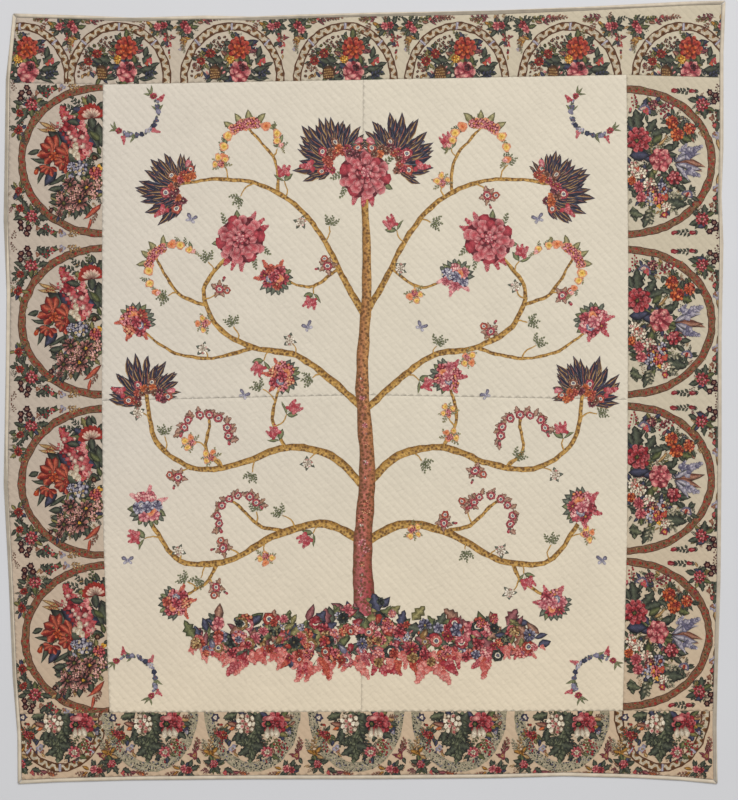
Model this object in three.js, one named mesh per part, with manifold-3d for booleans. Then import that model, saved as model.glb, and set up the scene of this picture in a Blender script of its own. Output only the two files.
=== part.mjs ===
// A chintz bed quilt, lying flat with its face up. A plain cotton field made of four lengths is framed by four
// printed borders and a narrow binding, and holds an applied flowering tree. Millimetres, +Z up, +Y to the head end.
// The origin is the middle of the quilt's footprint, on the surface that it lies on.
import * as THREE from "three";
import { mergeVertices } from "three/addons/utils/BufferGeometryUtils.js";
import Module from "manifold-3d";

// Size of the whole quilt
const WIDTH = 2745;
const LENGTH = 2980;

// The quilted layers: wadding puffs up between parallel slanting lines of stitches
const QUILTING_PITCH = 24;
const QUILTING_NORMAL_DEG = 43; // from +X to the direction across the lines
const STITCH_HEIGHT = 2.4; // top of the cloth at a line of stitches
const PUFF_HEIGHT = 4.6; // top of the cloth between two lines
const SHOULDER_SHARE = 0.3; // of the pitch, from a line to where the puff is at its height

// Edges and seams
const PIECE_GAP = 0.3;
const BINDING_WIDTH = 16;
const BINDING_HEIGHT = 4.4;
const BINDING_ROUND = 1.2;

// Applied pieces
const APPLIED_BOTTOM = PUFF_HEIGHT + PIECE_GAP;
const APPLIED_THICKNESS = 0.8;
const STEM_STEPS = 2; // stations for each stretch between two points of a stem
const LOBE_STEPS = 2; // points for each lobe of a blossom's outline

const CREAM = 0xd9ceb9;
const BORDER_CREAM = 0xcfc0aa;
const BINDING_CREAM = 0xcdbfa5;
const OCHRE = 0xb08446;
const CRIMSON = 0xb5475b;
const NAVY = 0x2f3850;
const GOLD = 0xd9a457;
const ROSE = 0xc96a78;
const LILAC = 0x8d86b5;

// How far the edge stands in from the quilt's box, at places along each side.
const TOP_EDGE = [
  { along: -1338, inset: 49 },
  { along: -1065, inset: 57 },
  { along: -883, inset: 65 },
  { along: -609, inset: 57 },
  { along: -427, inset: 61 },
  { along: -245, inset: 53 },
  { along: 28, inset: 46 },
  { along: 484, inset: 38 },
  { along: 849, inset: 23 },
  { along: 1213, inset: 4 },
];
const RIGHT_EDGE = [
  { along: 1490, inset: 0 },
  { along: 1290, inset: 8 },
  { along: 930, inset: 8 },
  { along: 745, inset: 15 },
  { along: 565, inset: 8 },
  { along: 200, inset: 15 },
  { along: -255, inset: 15 },
  { along: -710, inset: 19 },
  { along: -1075, inset: 30 },
  { along: -1260, inset: 34 },
];
const BOTTOM_EDGE = [
  { along: 1342, inset: 0 },
  { along: 1213, inset: 13 },
  { along: 1031, inset: 23 },
  { along: 757, inset: 30 },
  { along: 484, inset: 23 },
  { along: 28, inset: 19 },
  { along: -427, inset: 19 },
  { along: -883, inset: 15 },
  { along: -1156, inset: 8 },
];
const LEFT_EDGE = [
  { along: -1490, inset: 53 },
  { along: -1300, inset: 52 },
  { along: -1080, inset: 34 },
  { along: -710, inset: 19 },
  { along: -350, inset: 0 },
  { along: 110, inset: 8 },
  { along: 380, inset: 11 },
  { along: 655, inset: 0 },
  { along: 1190, inset: 8 },
  { along: 1290, inset: 19 },
];

// Seams between the field and the borders, from the head end down, and across the field
const LEFT_SEAM = [
  [-995, 1170],
  [-998, 560],
  [-999, -32],
  [-993, -560],
  [-970, -1217],
];
const RIGHT_SEAM = [
  [995, 1207],
  [1002, 500],
  [1000, -28],
  [997, -560],
  [981, -1211],
];
const MIDDLE_ROW = 2; // the row of both seams above where the field's cross seam meets them
const FIELD_MIDDLE = [-10, -10];
const FIELD_TOP_MIDDLE = [-6, 1188];
const FIELD_BOTTOM_MIDDLE = [-13, -1214];
const OUTSIDE = 1700; // past the quilt's edge on every side
const TOP_SEAM_OUTSIDE = { left: 1183, right: 1187 };
const BOTTOM_SEAM_OUTSIDE = { left: -1230, right: -1212 };

// The tree's stems, right of the middle; each is mirrored. The first stem of a bough carries the others.
const TRUNK = { from: 84, to: 24, points: [[0, -850], [-8, -600], [10, -300], [-10, 50], [8, 400], [0, 780]] };
const BOUGHS = [
  [
    { from: 34, to: 16, points: [[0, -570], [150, -500], [330, -540], [520, -640], [700, -640], [810, -500]] },
    { from: 15, to: 10, points: [[300, -530], [400, -505], [470, -440]] },
    { from: 15, to: 10, points: [[560, -650], [600, -720], [680, -770]] },
  ],
  [
    { from: 32, to: 14, points: [[0, -360], [130, -240], [300, -210], [470, -270], [640, -290], [790, -190], [830, 0]] },
    { from: 14, to: 10, points: [[300, -210], [350, -100], [320, 30]] },
    { from: 14, to: 10, points: [[540, -285], [600, -220], [590, -120]] },
  ],
  [
    { from: 28, to: 14, points: [[0, -70], [120, 40], [260, 140], [420, 170], [560, 250], [610, 390], [520, 520]] },
    { from: 14, to: 9, points: [[420, 170], [580, 130], [720, 150], [840, 230]] },
    { from: 14, to: 9, points: [[603, 330], [700, 370], [770, 470]] },
  ],
  [
    { from: 24, to: 12, points: [[0, 290], [80, 430], [150, 570], [250, 700], [400, 790], [560, 810], [720, 790]] },
    { from: 12, to: 9, points: [[330, 755], [340, 880], [420, 980]] },
    { from: 12, to: 9, points: [[100, 470], [210, 400], [310, 430]] },
  ],
];

// Blossoms, leaves and sprays right of the middle, each mirrored unless it stands on it.
// turn is in degrees from +X, size is the piece's reach from its middle.
const HEADS = [
  { name: "peony_top", kind: "peony", x: 0, y: 830, size: 92, turn: 0 },
  { name: "peony", kind: "peony", x: 470, y: 580, size: 88, turn: 20 },
  { name: "plume_top", kind: "plume", x: 150, y: 960, size: 125, turn: 55 },
  { name: "plume_high", kind: "plume", x: 775, y: 805, size: 120, turn: 20 },
  { name: "plume_low", kind: "plume", x: 838, y: 62, size: 115, turn: 80 },
  { name: "garland_high", kind: "garland", x: 455, y: 1020, size: 112, turn: 75 },
  { name: "garland_side", kind: "garland", x: 800, y: 525, size: 105, turn: 40 },
  { name: "garland_inner", kind: "garland", x: 590, y: -85, size: 95, turn: 100 },
  { name: "garland_low", kind: "garland", x: 515, y: -405, size: 90, turn: 60 },
  { name: "cluster_high", kind: "cluster", x: 345, y: 438, size: 58, turn: 10 },
  { name: "cluster_inner", kind: "cluster", x: 315, y: 62, size: 58, turn: 100 },
  { name: "cluster_side", kind: "cluster", x: 870, y: 268, size: 62, turn: 40 },
  { name: "cluster_low", kind: "cluster", x: 825, y: -435, size: 64, turn: 80 },
  { name: "cluster_foot", kind: "cluster", x: 715, y: -800, size: 58, turn: -30 },
  { name: "corner_spray_top", kind: "spray", x: 812, y: 1005, size: 105, turn: -135 },
  { name: "corner_spray_foot", kind: "spray", x: 822, y: -1030, size: 105, turn: 135 },
];
const HEAD_COLOURS = { peony: CRIMSON, plume: NAVY, garland: GOLD, cluster: ROSE, spray: LILAC };

// The bed of flowers that the tree grows from: the reach of its edge above and below its middle line
const BED_MIDDLE_Y = -940;
const BED = [
  { x: 0, above: 150, below: 130 },
  { x: 90, above: 120, below: 165 },
  { x: 190, above: 128, below: 120 },
  { x: 280, above: 98, below: 158 },
  { x: 370, above: 112, below: 108 },
  { x: 460, above: 80, below: 140 },
  { x: 540, above: 92, below: 84 },
  { x: 620, above: 50, below: 90 },
];
const BED_END = 670;

const solids = await Module();
solids.setup();

// A closed geometry as a solid that can be joined and cut
function solidOf(geometry) {
  geometry.deleteAttribute("normal");
  geometry.deleteAttribute("uv");
  const merged = mergeVertices(geometry);
  return new solids.Manifold(
    new solids.Mesh({
      numProp: 3,
      vertProperties: merged.getAttribute("position").array,
      triVerts: new Uint32Array(merged.index.array),
    }),
  );
}

function geometryOf(solid) {
  const made = solid.getMesh();
  const geometry = new THREE.BufferGeometry();
  geometry.setAttribute("position", new THREE.BufferAttribute(made.vertProperties, 3));
  geometry.setIndex(new THREE.BufferAttribute(made.triVerts, 1));
  return geometry;
}

function point([x, y]) {
  return new THREE.Vector2(x, y);
}

function mirrored(points) {
  return points.map((p) => new THREE.Vector2(-p.x, p.y)).reverse();
}

// An upright block over a plan outline
function block(outline, bottom, height) {
  const shape = new THREE.Shape(outline);
  return new THREE.ExtrudeGeometry(shape, { depth: height, bevelEnabled: false }).translate(0, 0, bottom);
}

// The outline drawn in by a distance, or let out by a negative one; it runs anticlockwise
function drawnIn(outline, distance) {
  return outline.map((corner, i) => {
    const before = corner.clone().sub(outline.at(i - 1)).normalize();
    const after = outline[(i + 1) % outline.length].clone().sub(corner).normalize();
    const inwards = new THREE.Vector2(-before.y - after.y, before.x + after.x);
    const mitre = 1 + before.dot(after);
    return corner.clone().addScaledVector(inwards, distance / mitre);
  });
}

function anticlockwise(outline) {
  return THREE.ShapeUtils.isClockWise(outline) ? [...outline].reverse() : outline;
}

// The quilt's uneven edge, anticlockwise from the foot end's left corner
function quiltEdge() {
  const top = TOP_EDGE.map((e) => new THREE.Vector2(e.along, LENGTH / 2 - e.inset));
  const right = RIGHT_EDGE.map((e) => new THREE.Vector2(WIDTH / 2 - e.inset, e.along));
  const bottom = BOTTOM_EDGE.map((e) => new THREE.Vector2(e.along, e.inset - LENGTH / 2));
  const left = LEFT_EDGE.map((e) => new THREE.Vector2(e.inset - WIDTH / 2, e.along));
  const sides = { left, top, right, bottom };
  return { sides, loop: [...left, ...top, ...right, ...bottom].reverse() };
}

// The layers as one slab whose top puffs up between the lines of stitches
function quiltedSlab() {
  const reach = Math.hypot(WIDTH, LENGTH) / 2;
  const channels = Math.ceil(reach / QUILTING_PITCH);
  const section = [];
  for (let i = -channels; i < channels; i++) {
    const line = i * QUILTING_PITCH;
    const shoulder = SHOULDER_SHARE * QUILTING_PITCH;
    section.push(new THREE.Vector2(line, STITCH_HEIGHT));
    section.push(new THREE.Vector2(line + shoulder, PUFF_HEIGHT));
    section.push(new THREE.Vector2(line + QUILTING_PITCH - shoulder, PUFF_HEIGHT));
  }
  const end = channels * QUILTING_PITCH;
  section.push(new THREE.Vector2(end, STITCH_HEIGHT), new THREE.Vector2(end, 0), new THREE.Vector2(-end, 0));
  const slab = new THREE.ExtrudeGeometry(new THREE.Shape(section), { depth: 2 * end, bevelEnabled: false });
  slab.translate(0, 0, -end);
  const angle = THREE.MathUtils.degToRad(QUILTING_NORMAL_DEG);
  const across = new THREE.Vector3(Math.cos(angle), Math.sin(angle), 0);
  const up = new THREE.Vector3(0, 0, 1);
  const lengthwise = new THREE.Vector3().crossVectors(across, up);
  slab.applyMatrix4(new THREE.Matrix4().makeBasis(across, up, lengthwise));
  return solidOf(slab);
}

// Where each length of cloth lies; the borders' places run past the quilt's edge
function panelPlaces() {
  const left = LEFT_SEAM.map(point);
  const right = RIGHT_SEAM.map(point);
  const middle = point(FIELD_MIDDLE);
  const top = point(FIELD_TOP_MIDDLE);
  const bottom = point(FIELD_BOTTOM_MIDDLE);
  const topLeft = new THREE.Vector2(-OUTSIDE, TOP_SEAM_OUTSIDE.left);
  const topRight = new THREE.Vector2(OUTSIDE, TOP_SEAM_OUTSIDE.right);
  const bottomLeft = new THREE.Vector2(-OUTSIDE, BOTTOM_SEAM_OUTSIDE.left);
  const bottomRight = new THREE.Vector2(OUTSIDE, BOTTOM_SEAM_OUTSIDE.right);
  const head = [new THREE.Vector2(OUTSIDE, OUTSIDE), new THREE.Vector2(-OUTSIDE, OUTSIDE)];
  const foot = [new THREE.Vector2(-OUTSIDE, -OUTSIDE), new THREE.Vector2(OUTSIDE, -OUTSIDE)];
  return {
    field_top_left: [...left.slice(0, MIDDLE_ROW + 1), middle, top],
    field_top_right: [top, middle, ...right.slice(0, MIDDLE_ROW + 1).reverse()],
    field_bottom_left: [...left.slice(MIDDLE_ROW), bottom, middle],
    field_bottom_right: [middle, bottom, ...right.slice(MIDDLE_ROW).reverse()],
    border_left: [topLeft, ...left.map((p) => p.clone()), bottomLeft],
    border_right: [topRight, ...right.map((p) => p.clone()), bottomRight],
    border_top: [topLeft, left[0], top, right[0], topRight, ...head],
    border_bottom: [bottomRight, right.at(-1), bottom, left.at(-1), bottomLeft, ...foot],
  };
}

function panels() {
  const inside = drawnIn(quiltEdge().loop, BINDING_WIDTH + PIECE_GAP / 2);
  const layers = quiltedSlab().intersect(solidOf(block(inside, -1, PUFF_HEIGHT + 2)));
  return Object.entries(panelPlaces()).map(([name, place]) => {
    const outline = drawnIn(anticlockwise(place), PIECE_GAP / 2);
    const cut = layers.intersect(solidOf(block(outline, -1, PUFF_HEIGHT + 2)));
    return named(name, geometryOf(cut), name.startsWith("field") ? CREAM : BORDER_CREAM);
  });
}

// Four strips folded round the edge, mitred at the corners
function bindings() {
  const { sides, loop } = quiltEdge();
  const inner = drawnIn(loop, BINDING_WIDTH - PIECE_GAP / 2);
  const corners = [sides.left[0], sides.top[0], sides.right[0], sides.bottom[0]];
  const cornerAt = corners.map((corner) => loop.findIndex((p) => p.equals(corner)));
  const names = ["binding_left", "binding_top", "binding_right", "binding_bottom"];
  return names.map((name, i) => {
    const start = cornerAt[(i + 1) % names.length];
    const count = (cornerAt[i] - start + loop.length) % loop.length;
    const stations = Array.from({ length: count + 1 }, (_, k) => (start + k) % loop.length);
    const outline = [...stations.map((k) => loop[k]), ...stations.map((k) => inner[k]).reverse()];
    const body = drawnIn(drawnIn(outline, PIECE_GAP / 2), BINDING_ROUND);
    const geometry = new THREE.ExtrudeGeometry(new THREE.Shape(body), {
      depth: BINDING_HEIGHT - 2 * BINDING_ROUND,
      bevelEnabled: true,
      bevelThickness: BINDING_ROUND,
      bevelSize: BINDING_ROUND,
      bevelSegments: 1,
    }).translate(0, 0, BINDING_ROUND);
    return named(name, geometryOf(solidOf(geometry)), BINDING_CREAM);
  });
}

// A tapering stem along a smooth line through its points
function stemOutline({ points, from, to }) {
  const line = new THREE.CatmullRomCurve3(points.map(([x, y]) => new THREE.Vector3(x, y, 0)));
  const steps = (points.length - 1) * STEM_STEPS;
  const sides = { left: [], right: [] };
  for (let i = 0; i <= steps; i++) {
    const at = line.getPoint(i / steps);
    const along = line.getTangent(i / steps);
    const half = THREE.MathUtils.lerp(from, to, i / steps) / 2;
    sides.left.push(new THREE.Vector2(at.x - along.y * half, at.y + along.x * half));
    sides.right.push(new THREE.Vector2(at.x + along.y * half, at.y - along.x * half));
  }
  return [...sides.right, ...sides.left.reverse()];
}

// A round head with scalloped edge, or an oval one where stretch is under 1
function lobedOutline(lobes, depth, stretch) {
  const count = lobes * LOBE_STEPS;
  return Array.from({ length: count }, (_, i) => {
    const angle = (2 * Math.PI * i) / count;
    const reach = i % LOBE_STEPS === 0 ? 1 : 1 - depth;
    return new THREE.Vector2(reach * Math.cos(angle), stretch * reach * Math.sin(angle));
  });
}

// A band bent round an arc, wide in its middle, with a toothed outer side
function crescentOutline({ teeth, sweepDeg, radius, band, bite }) {
  const outer = [];
  const inner = [];
  const count = teeth * 2;
  for (let i = 0; i <= count; i++) {
    const share = i / count;
    const angle = THREE.MathUtils.degToRad(sweepDeg) * (share - 0.5);
    const swell = Math.sin(Math.PI * (0.08 + 0.84 * share));
    const half = (band / 2) * swell * (i % 2 === 0 ? 1 - bite : 1);
    outer.push(new THREE.Vector2((radius + half) * Math.cos(angle) - radius, (radius + half) * Math.sin(angle)));
    if (i % 2 === 0) {
      const near = radius - (band / 2) * swell;
      inner.push(new THREE.Vector2(near * Math.cos(angle) - radius, near * Math.sin(angle)));
    }
  }
  return [...outer, ...inner.reverse()];
}

const HEAD_OUTLINES = {
  peony: lobedOutline(9, 0.09, 1),
  cluster: lobedOutline(7, 0.14, 0.82),
  plume: crescentOutline({ teeth: 6, sweepDeg: 150, radius: 0.72, band: 0.85, bite: 0.3 }),
  garland: crescentOutline({ teeth: 5, sweepDeg: 170, radius: 0.85, band: 0.5, bite: 0.22 }),
  spray: crescentOutline({ teeth: 5, sweepDeg: 150, radius: 0.95, band: 0.3, bite: 0.3 }),
};

function headOutline({ kind, x, y, size, turn }) {
  const angle = THREE.MathUtils.degToRad(turn);
  const middle = new THREE.Vector2(x, y);
  return HEAD_OUTLINES[kind].map((p) =>
    p.clone().rotateAround(new THREE.Vector2(), angle).multiplyScalar(size).add(middle),
  );
}

// Every blossom, leaf fan and spray with its own name, on both sides of the middle
function headPlaces() {
  return HEADS.flatMap((head) => {
    const outline = headOutline(head);
    if (head.x === 0) return [{ ...head, outline }];
    return [
      { ...head, name: `${head.name}_right`, outline },
      { ...head, name: `${head.name}_left`, outline: mirrored(outline) },
    ];
  });
}

function bedOutline() {
  const upper = BED.map((b) => new THREE.Vector2(b.x, BED_MIDDLE_Y + b.above));
  const lower = BED.map((b) => new THREE.Vector2(b.x, BED_MIDDLE_Y - b.below));
  const half = [...lower, new THREE.Vector2(BED_END, BED_MIDDLE_Y), ...upper.reverse()];
  const other = mirrored(half).filter((p) => p.x < 0);
  return [...half, ...other];
}

function appliedSolid(outline) {
  return solidOf(block(outline, APPLIED_BOTTOM, APPLIED_THICKNESS));
}

// What is cut away from a piece so that it stops just short of this one
function clearOf(outline) {
  const widened = drawnIn(outline, -PIECE_GAP);
  return solidOf(block(widened, APPLIED_BOTTOM - 1, APPLIED_THICKNESS + 2));
}

function tree() {
  const heads = headPlaces();
  const bed = bedOutline();
  const trunk = stemOutline(TRUNK);
  const blossoms = heads.map((head) => clearOf(head.outline)).reduce((sum, next) => sum.add(next));
  const made = [];
  for (const [i, stems] of BOUGHS.entries()) {
    for (const side of ["right", "left"]) {
      const outlines = stems.map(stemOutline).map((o) => (side === "left" ? mirrored(o) : o));
      const joined = outlines.map(appliedSolid).reduce((sum, next) => sum.add(next));
      const bough = joined.subtract(clearOf(trunk)).subtract(blossoms);
      made.push(named(`bough_${side}_${i + 1}`, geometryOf(largest(bough)), OCHRE));
    }
  }
  const trunkBody = appliedSolid(trunk).subtract(clearOf(bed)).subtract(blossoms);
  made.push(named("trunk", geometryOf(largest(trunkBody)), OCHRE));
  made.push(named("flower_bed", geometryOf(appliedSolid(bed)), ROSE));
  for (const head of heads) {
    made.push(named(head.name, geometryOf(appliedSolid(head.outline)), HEAD_COLOURS[head.kind]));
  }
  return made;
}

// The main body of a piece that was cut; slips left on its far side are dropped
function largest(solid) {
  return solid.decompose().reduce((a, b) => (b.volume() > a.volume() ? b : a));
}

function named(name, geometry, color) {
  geometry.computeVertexNormals();
  const mesh = new THREE.Mesh(geometry, new THREE.MeshStandardMaterial({ color, roughness: 0.85, metalness: 0 }));
  mesh.name = name;
  return mesh;
}

const quilt = new THREE.Group();
quilt.add(...panels(), ...bindings(), ...tree());

export default quilt;
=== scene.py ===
# A chintz bed quilt lying flat, seen from straight above: a quilted plain cotton field with an applied
# flowering tree, four borders of printed cotton and a narrow binding. In metres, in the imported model's frame.
import math
import random

import bmesh
import bpy
import numpy as np
from bpy.props import FloatProperty, FloatVectorProperty, PointerProperty
from bpy.types import Operator, Panel, PropertyGroup
from mathutils import Matrix, Vector


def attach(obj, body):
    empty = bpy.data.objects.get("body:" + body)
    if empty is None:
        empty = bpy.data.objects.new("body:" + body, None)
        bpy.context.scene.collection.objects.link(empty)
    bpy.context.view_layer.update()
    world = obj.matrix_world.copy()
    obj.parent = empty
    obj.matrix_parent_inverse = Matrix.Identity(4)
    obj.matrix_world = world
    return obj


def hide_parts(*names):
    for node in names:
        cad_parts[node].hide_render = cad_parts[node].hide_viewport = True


bl_info = {
    "name": "Chintz quilt",
    "version": (1, 0, 0),
    "blender": (4, 5, 0),
    "location": "3D View > Sidebar > Quilt",
    "description": "Builds a quilted bed cover with printed borders and an applied flowering tree",
    "category": "Object",
}

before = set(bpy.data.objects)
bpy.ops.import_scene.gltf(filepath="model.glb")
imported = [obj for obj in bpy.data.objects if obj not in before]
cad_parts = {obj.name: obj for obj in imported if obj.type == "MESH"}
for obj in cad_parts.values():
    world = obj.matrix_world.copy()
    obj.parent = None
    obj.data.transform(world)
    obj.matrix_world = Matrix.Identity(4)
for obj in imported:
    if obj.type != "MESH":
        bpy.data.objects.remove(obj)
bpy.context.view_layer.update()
MM = 0.001

# Camera: straight above, the long side of the picture takes in this length of the quilt's face
VIEW_LENGTH = 3.040
VIEW_MIDDLE = (0.0163, -0.0293)
LENS_MM = 85
SENSOR_MM = 36

# The stage: each lamp's place, size and watts, the pale room's strength, the floor a hair below the cloth
LAMPS = {"key": ((5.2, 10.8, 13.8), 6.0, 2330), "fill": ((-1.0, -1.0, 8.0), 6.0, 150)}
ROOM_STRENGTH = 0.4
FLOOR_REACH = 6
FLOOR_HEIGHT = -0.2 * MM

# Grid of the quilted cloth, across and along the lines of stitches
ACROSS_STEP = 4 * MM
ALONG_STEP = 20 * MM
PUFF_SHARPNESS = 1.1
EDGE_DIP = 9 * MM

# Printed and applied shapes lie one over the other, each a hair above the last
LAYER = 0.01 * MM
SHELL = 0.15 * MM
CLOSE = 0.001 * MM

FIELD_PANELS = ("field_top_left", "field_top_right", "field_bottom_left", "field_bottom_right")
BORDER_PANELS = ("border_left", "border_right", "border_top", "border_bottom")
BINDINGS = ("binding_left", "binding_top", "binding_right", "binding_bottom")


def linear(code):
    """A linear colour with alpha from an sRGB hex code."""
    parts = [int(code[i : i + 2], 16) / 255 for i in (1, 3, 5)]
    return tuple(p / 12.92 if p <= 0.04045 else ((p + 0.055) / 1.055) ** 2.4 for p in parts) + (1.0,)


# Inks of the printed cotton: edge, deep, middle, light, heart
INKS = {
    name: tuple(linear(code) for code in codes.split())
    for name, codes in {
        "crimson": "#5c1a22 #962e38 #b4444c #d08a88 #d2a04a",
        "pink": "#8c3a44 #bc5e66 #d28688 #e4b9ac #a23640",
        "coral": "#68261e #9e3a2e #b64e3e #ce7e64 #dcb884",
        "orange": "#7c361c #b04c26 #c86638 #dc9462 #6a3018",
        "gold": "#7a5822 #b8842c #d3a038 #e6c474 #a85c2c",
        "lilac": "#3c364a #6a667c #948e9c #c9c2c4 #c4a858",
        "navy": "#1c1620 #28293a #393d50 #66667a #a4604c",
        "teal": "#1e1a19 #2c302f #3e4642 #727664 #9a8c64",
        "green": "#28281a #3e452c #565e3c #868860 #b4a868",
        "olive": "#38361a #5a5630 #7a7448 #a89e70 #b4a868",
        "brown": "#3c2118 #683628 #8a543e #b9917c #dac4a2",
        "maroon": "#38141b #5c222a #7c343c #ae7474 #dcc8a8",
        "white": "#7a6654 #b8a690 #d6c9b4 #e8decc #b03c4c",
        "tan": "#5c3e28 #88643c #a5814f #cdb184 #6c342c",
        "ochre": "#5c3e1c #86602a #aa7e3a #c69c56 #5a3a1c",
        "lace": "#585648 #7c7864 #9c9680 #c4bca4 #6c4c3c",
        "salmon": "#963f3a #bb5a52 #cd7a70 #e0aa9e #5a6488",
        "plume": "#4c2e20 #262e48 #1f2439 #c4a06a #bc9460",
        "vine": "#4a2c20 #744434 #8c5c48 #b08a70 #d8c8a8",
        "blossom": "#301d19 #6e403a #be8880 #dcb4a8 #8f8a52",
        "pine": "#24261e #3a4034 #555c4a #8a8c72 #a8a078",
    }.items()
}
EDGE, DEEP, MIDDLE, LIGHT, HEART = range(5)


def length_setting(name, description, size):
    return FloatProperty(name=name, description=description, default=size, unit="LENGTH")


def colour_setting(name, description, code):
    return FloatVectorProperty(
        name=name, description=description, size=4, subtype="COLOR", default=linear(code)
    )


class QuiltCloth(PropertyGroup):
    pitch: length_setting("Quilting pitch", "Distance between two lines of stitches", 24 * MM)
    slant: FloatProperty(
        name="Quilting slant",
        description="Angle from the width to the direction across the lines of stitches",
        default=math.radians(43),
        subtype="ANGLE",
    )
    stitch_height: length_setting("Stitch height", "Top of the cloth at a line of stitches", 3.5 * MM)
    puff_height: length_setting("Puff height", "Top of the cloth between two lines", 4.5 * MM)
    waver: length_setting("Waver", "How far a hand-sewn line strays", 3.0 * MM)
    binding_height: length_setting("Binding height", "Top of the folded strip round the edge", 4.4 * MM)


class QuiltColours(PropertyGroup):
    field: colour_setting("Field", "Plain cotton of the field", "#d0c6b3")
    field_cool: colour_setting("Field, cooler", "Where the field has greyed", "#cbc2b6")
    field_warm: colour_setting("Field, warmer", "Where the field has yellowed", "#d8c8ad")
    border: colour_setting("Border ground", "Ground of the printed cotton", "#bdb19a")
    border_cool: colour_setting("Border ground, cooler", "Where it has greyed", "#b3a495")
    border_warm: colour_setting("Border ground, warmer", "Where it has yellowed", "#bea386")
    binding: colour_setting("Binding", "Cotton strip round the edge", "#c6b9a5")
    floor: colour_setting("Floor", "Pale matt floor", "#c9c9cb")


# Where a point lies on the quilting

def waver(across, along, reach):
    slow = 0.5 * np.sin(7.3 * along + 3.1 * across) + 0.3 * np.sin(21 * along + 5 * across + 1.7)
    return reach * (slow + 0.25 * np.sin(53 * along - 37 * across + 0.4))


def quilting_place(x, y, cloth):
    """Distances across and along the lines of stitches, with their waver taken out."""
    cos, sin = math.cos(cloth.slant), math.sin(cloth.slant)
    across = x * cos + y * sin
    along = y * cos - x * sin
    return across - waver(across, along, cloth.waver), along


def distance_to(outline, x, y):
    """Distance of each point from the nearest side of an outline."""
    nearest = np.full(x.shape, np.inf)
    for (ax, ay), (bx, by) in zip(outline, outline[1:] + outline[:1]):
        dx, dy = bx - ax, by - ay
        share = np.clip(((x - ax) * dx + (y - ay) * dy) / (dx * dx + dy * dy), 0, 1)
        nearest = np.minimum(nearest, np.hypot(x - ax - share * dx, y - ay - share * dy))
    return nearest


def inside(outline, x, y):
    """Which points lie inside an outline."""
    odd = np.zeros(x.shape, bool)
    for (ax, ay), (bx, by) in zip(outline, outline[1:] + outline[:1]):
        if ay != by:
            crosses = ((ay > y) != (by > y)) & (x < ax + (y - ay) * (bx - ax) / (by - ay))
            odd ^= crosses
    return odd


def area_of(outline):
    return 0.5 * sum(ax * by - bx * ay for (ax, ay), (bx, by) in zip(outline, outline[1:] + outline[:1]))


def cloth_height(x, y, outline, cloth):
    """Top of the quilted cloth: puffed between the lines, drawn down at the seams."""
    across, along = quilting_place(x, y, cloth)
    puff = np.abs(np.sin(math.pi * across / cloth.pitch)) ** PUFF_SHARPNESS
    fullness = 0.7 + 0.3 * np.sin(19 * along + 140 * across) * np.sin(93 * along - 90 * across + 2)
    share = np.clip(distance_to(outline, x, y) / EDGE_DIP, 0, 1)
    dip = share * share * (3 - 2 * share)
    rise = cloth.puff_height - cloth.stitch_height
    return cloth.stitch_height + rise * puff * fullness * (0.4 + 0.6 * dip) - 0.25 * MM * (1 - dip)


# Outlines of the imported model's pieces

def outline_of(name):
    """The ordered outline of a CAD node's flat underside, anticlockwise."""
    bm = bmesh.new()
    bm.from_mesh(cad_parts[name].data)
    bmesh.ops.remove_doubles(bm, verts=bm.verts, dist=1e-6)
    low = min(v.co.z for v in bm.verts) + 1e-5
    upper = [f for f in bm.faces if max(v.co.z for v in f.verts) > low]
    bmesh.ops.delete(bm, geom=upper, context="FACES")
    start = next(e for e in bm.edges if e.is_boundary)
    vert, edge, points = start.verts[0], start, []
    while True:
        points.append((vert.co.x, vert.co.y))
        vert = edge.other_vert(vert)
        edge = next(e for e in vert.link_edges if e.is_boundary and e is not edge)
        if edge is start:
            break
    bm.free()
    return points if area_of(points) > 0 else points[::-1]


def centres_of(faces):
    return np.array([f.calc_center_median()[:2] for f in faces]).reshape(-1, 2).T


def drop(bm, faces, dropped):
    bmesh.ops.delete(bm, geom=[f for f, out in zip(faces, dropped) if out], context="FACES")


def cut_to(bm, outline, margin=25 * MM):
    """Cuts flat faces along an outline and drops what lies outside it."""
    faces = list(bm.faces)
    x, y = centres_of(faces)
    near_rim = distance_to(outline, x, y) < margin
    rim = {f for f, near in zip(faces, near_rim) if near}
    drop(bm, faces, ~inside(outline, x, y) & ~near_rim)
    for (ax, ay), (bx, by) in zip(outline, outline[1:] + outline[:1]):
        low_x, high_x = min(ax, bx) - margin, max(ax, bx) + margin
        low_y, high_y = min(ay, by) - margin, max(ay, by) + margin
        length = math.hypot(bx - ax, by - ay)
        out_x, out_y = (by - ay) / length, (ax - bx) / length
        near = set()
        for face in rim:
            x, y, _ = face.calc_center_median()
            beside = low_x < x < high_x and low_y < y < high_y
            if beside and abs((x - ax) * out_x + (y - ay) * out_y) < margin:
                near.add(face)
        edges = {e for f in near for e in f.edges}
        verts = {v for f in near for v in f.verts}
        cut = bmesh.ops.bisect_plane(
            bm, geom=[*near, *edges, *verts], dist=1e-6, plane_co=(ax, ay, 0), plane_no=(out_x, out_y, 0)
        )["geom"]
        rim = (rim - near) | {f for f in cut if isinstance(f, bmesh.types.BMFace)}
    rim = list(rim)
    drop(bm, rim, ~inside(outline, *centres_of(rim)))


def close_below(bm):
    """Draws the rim of an open sheet down to the ground and closes its underside."""
    rim = [e for e in bm.edges if e.is_boundary]
    made = bmesh.ops.extrude_edge_only(bm, edges=rim)["geom"]
    for vert in made:
        if isinstance(vert, bmesh.types.BMVert):
            vert.co.z = 0
    lower = [e for e in made if isinstance(e, bmesh.types.BMEdge) and e.is_boundary]
    bmesh.ops.edgeloop_fill(bm, edges=lower)
    bmesh.ops.recalc_face_normals(bm, faces=bm.faces)


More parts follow.
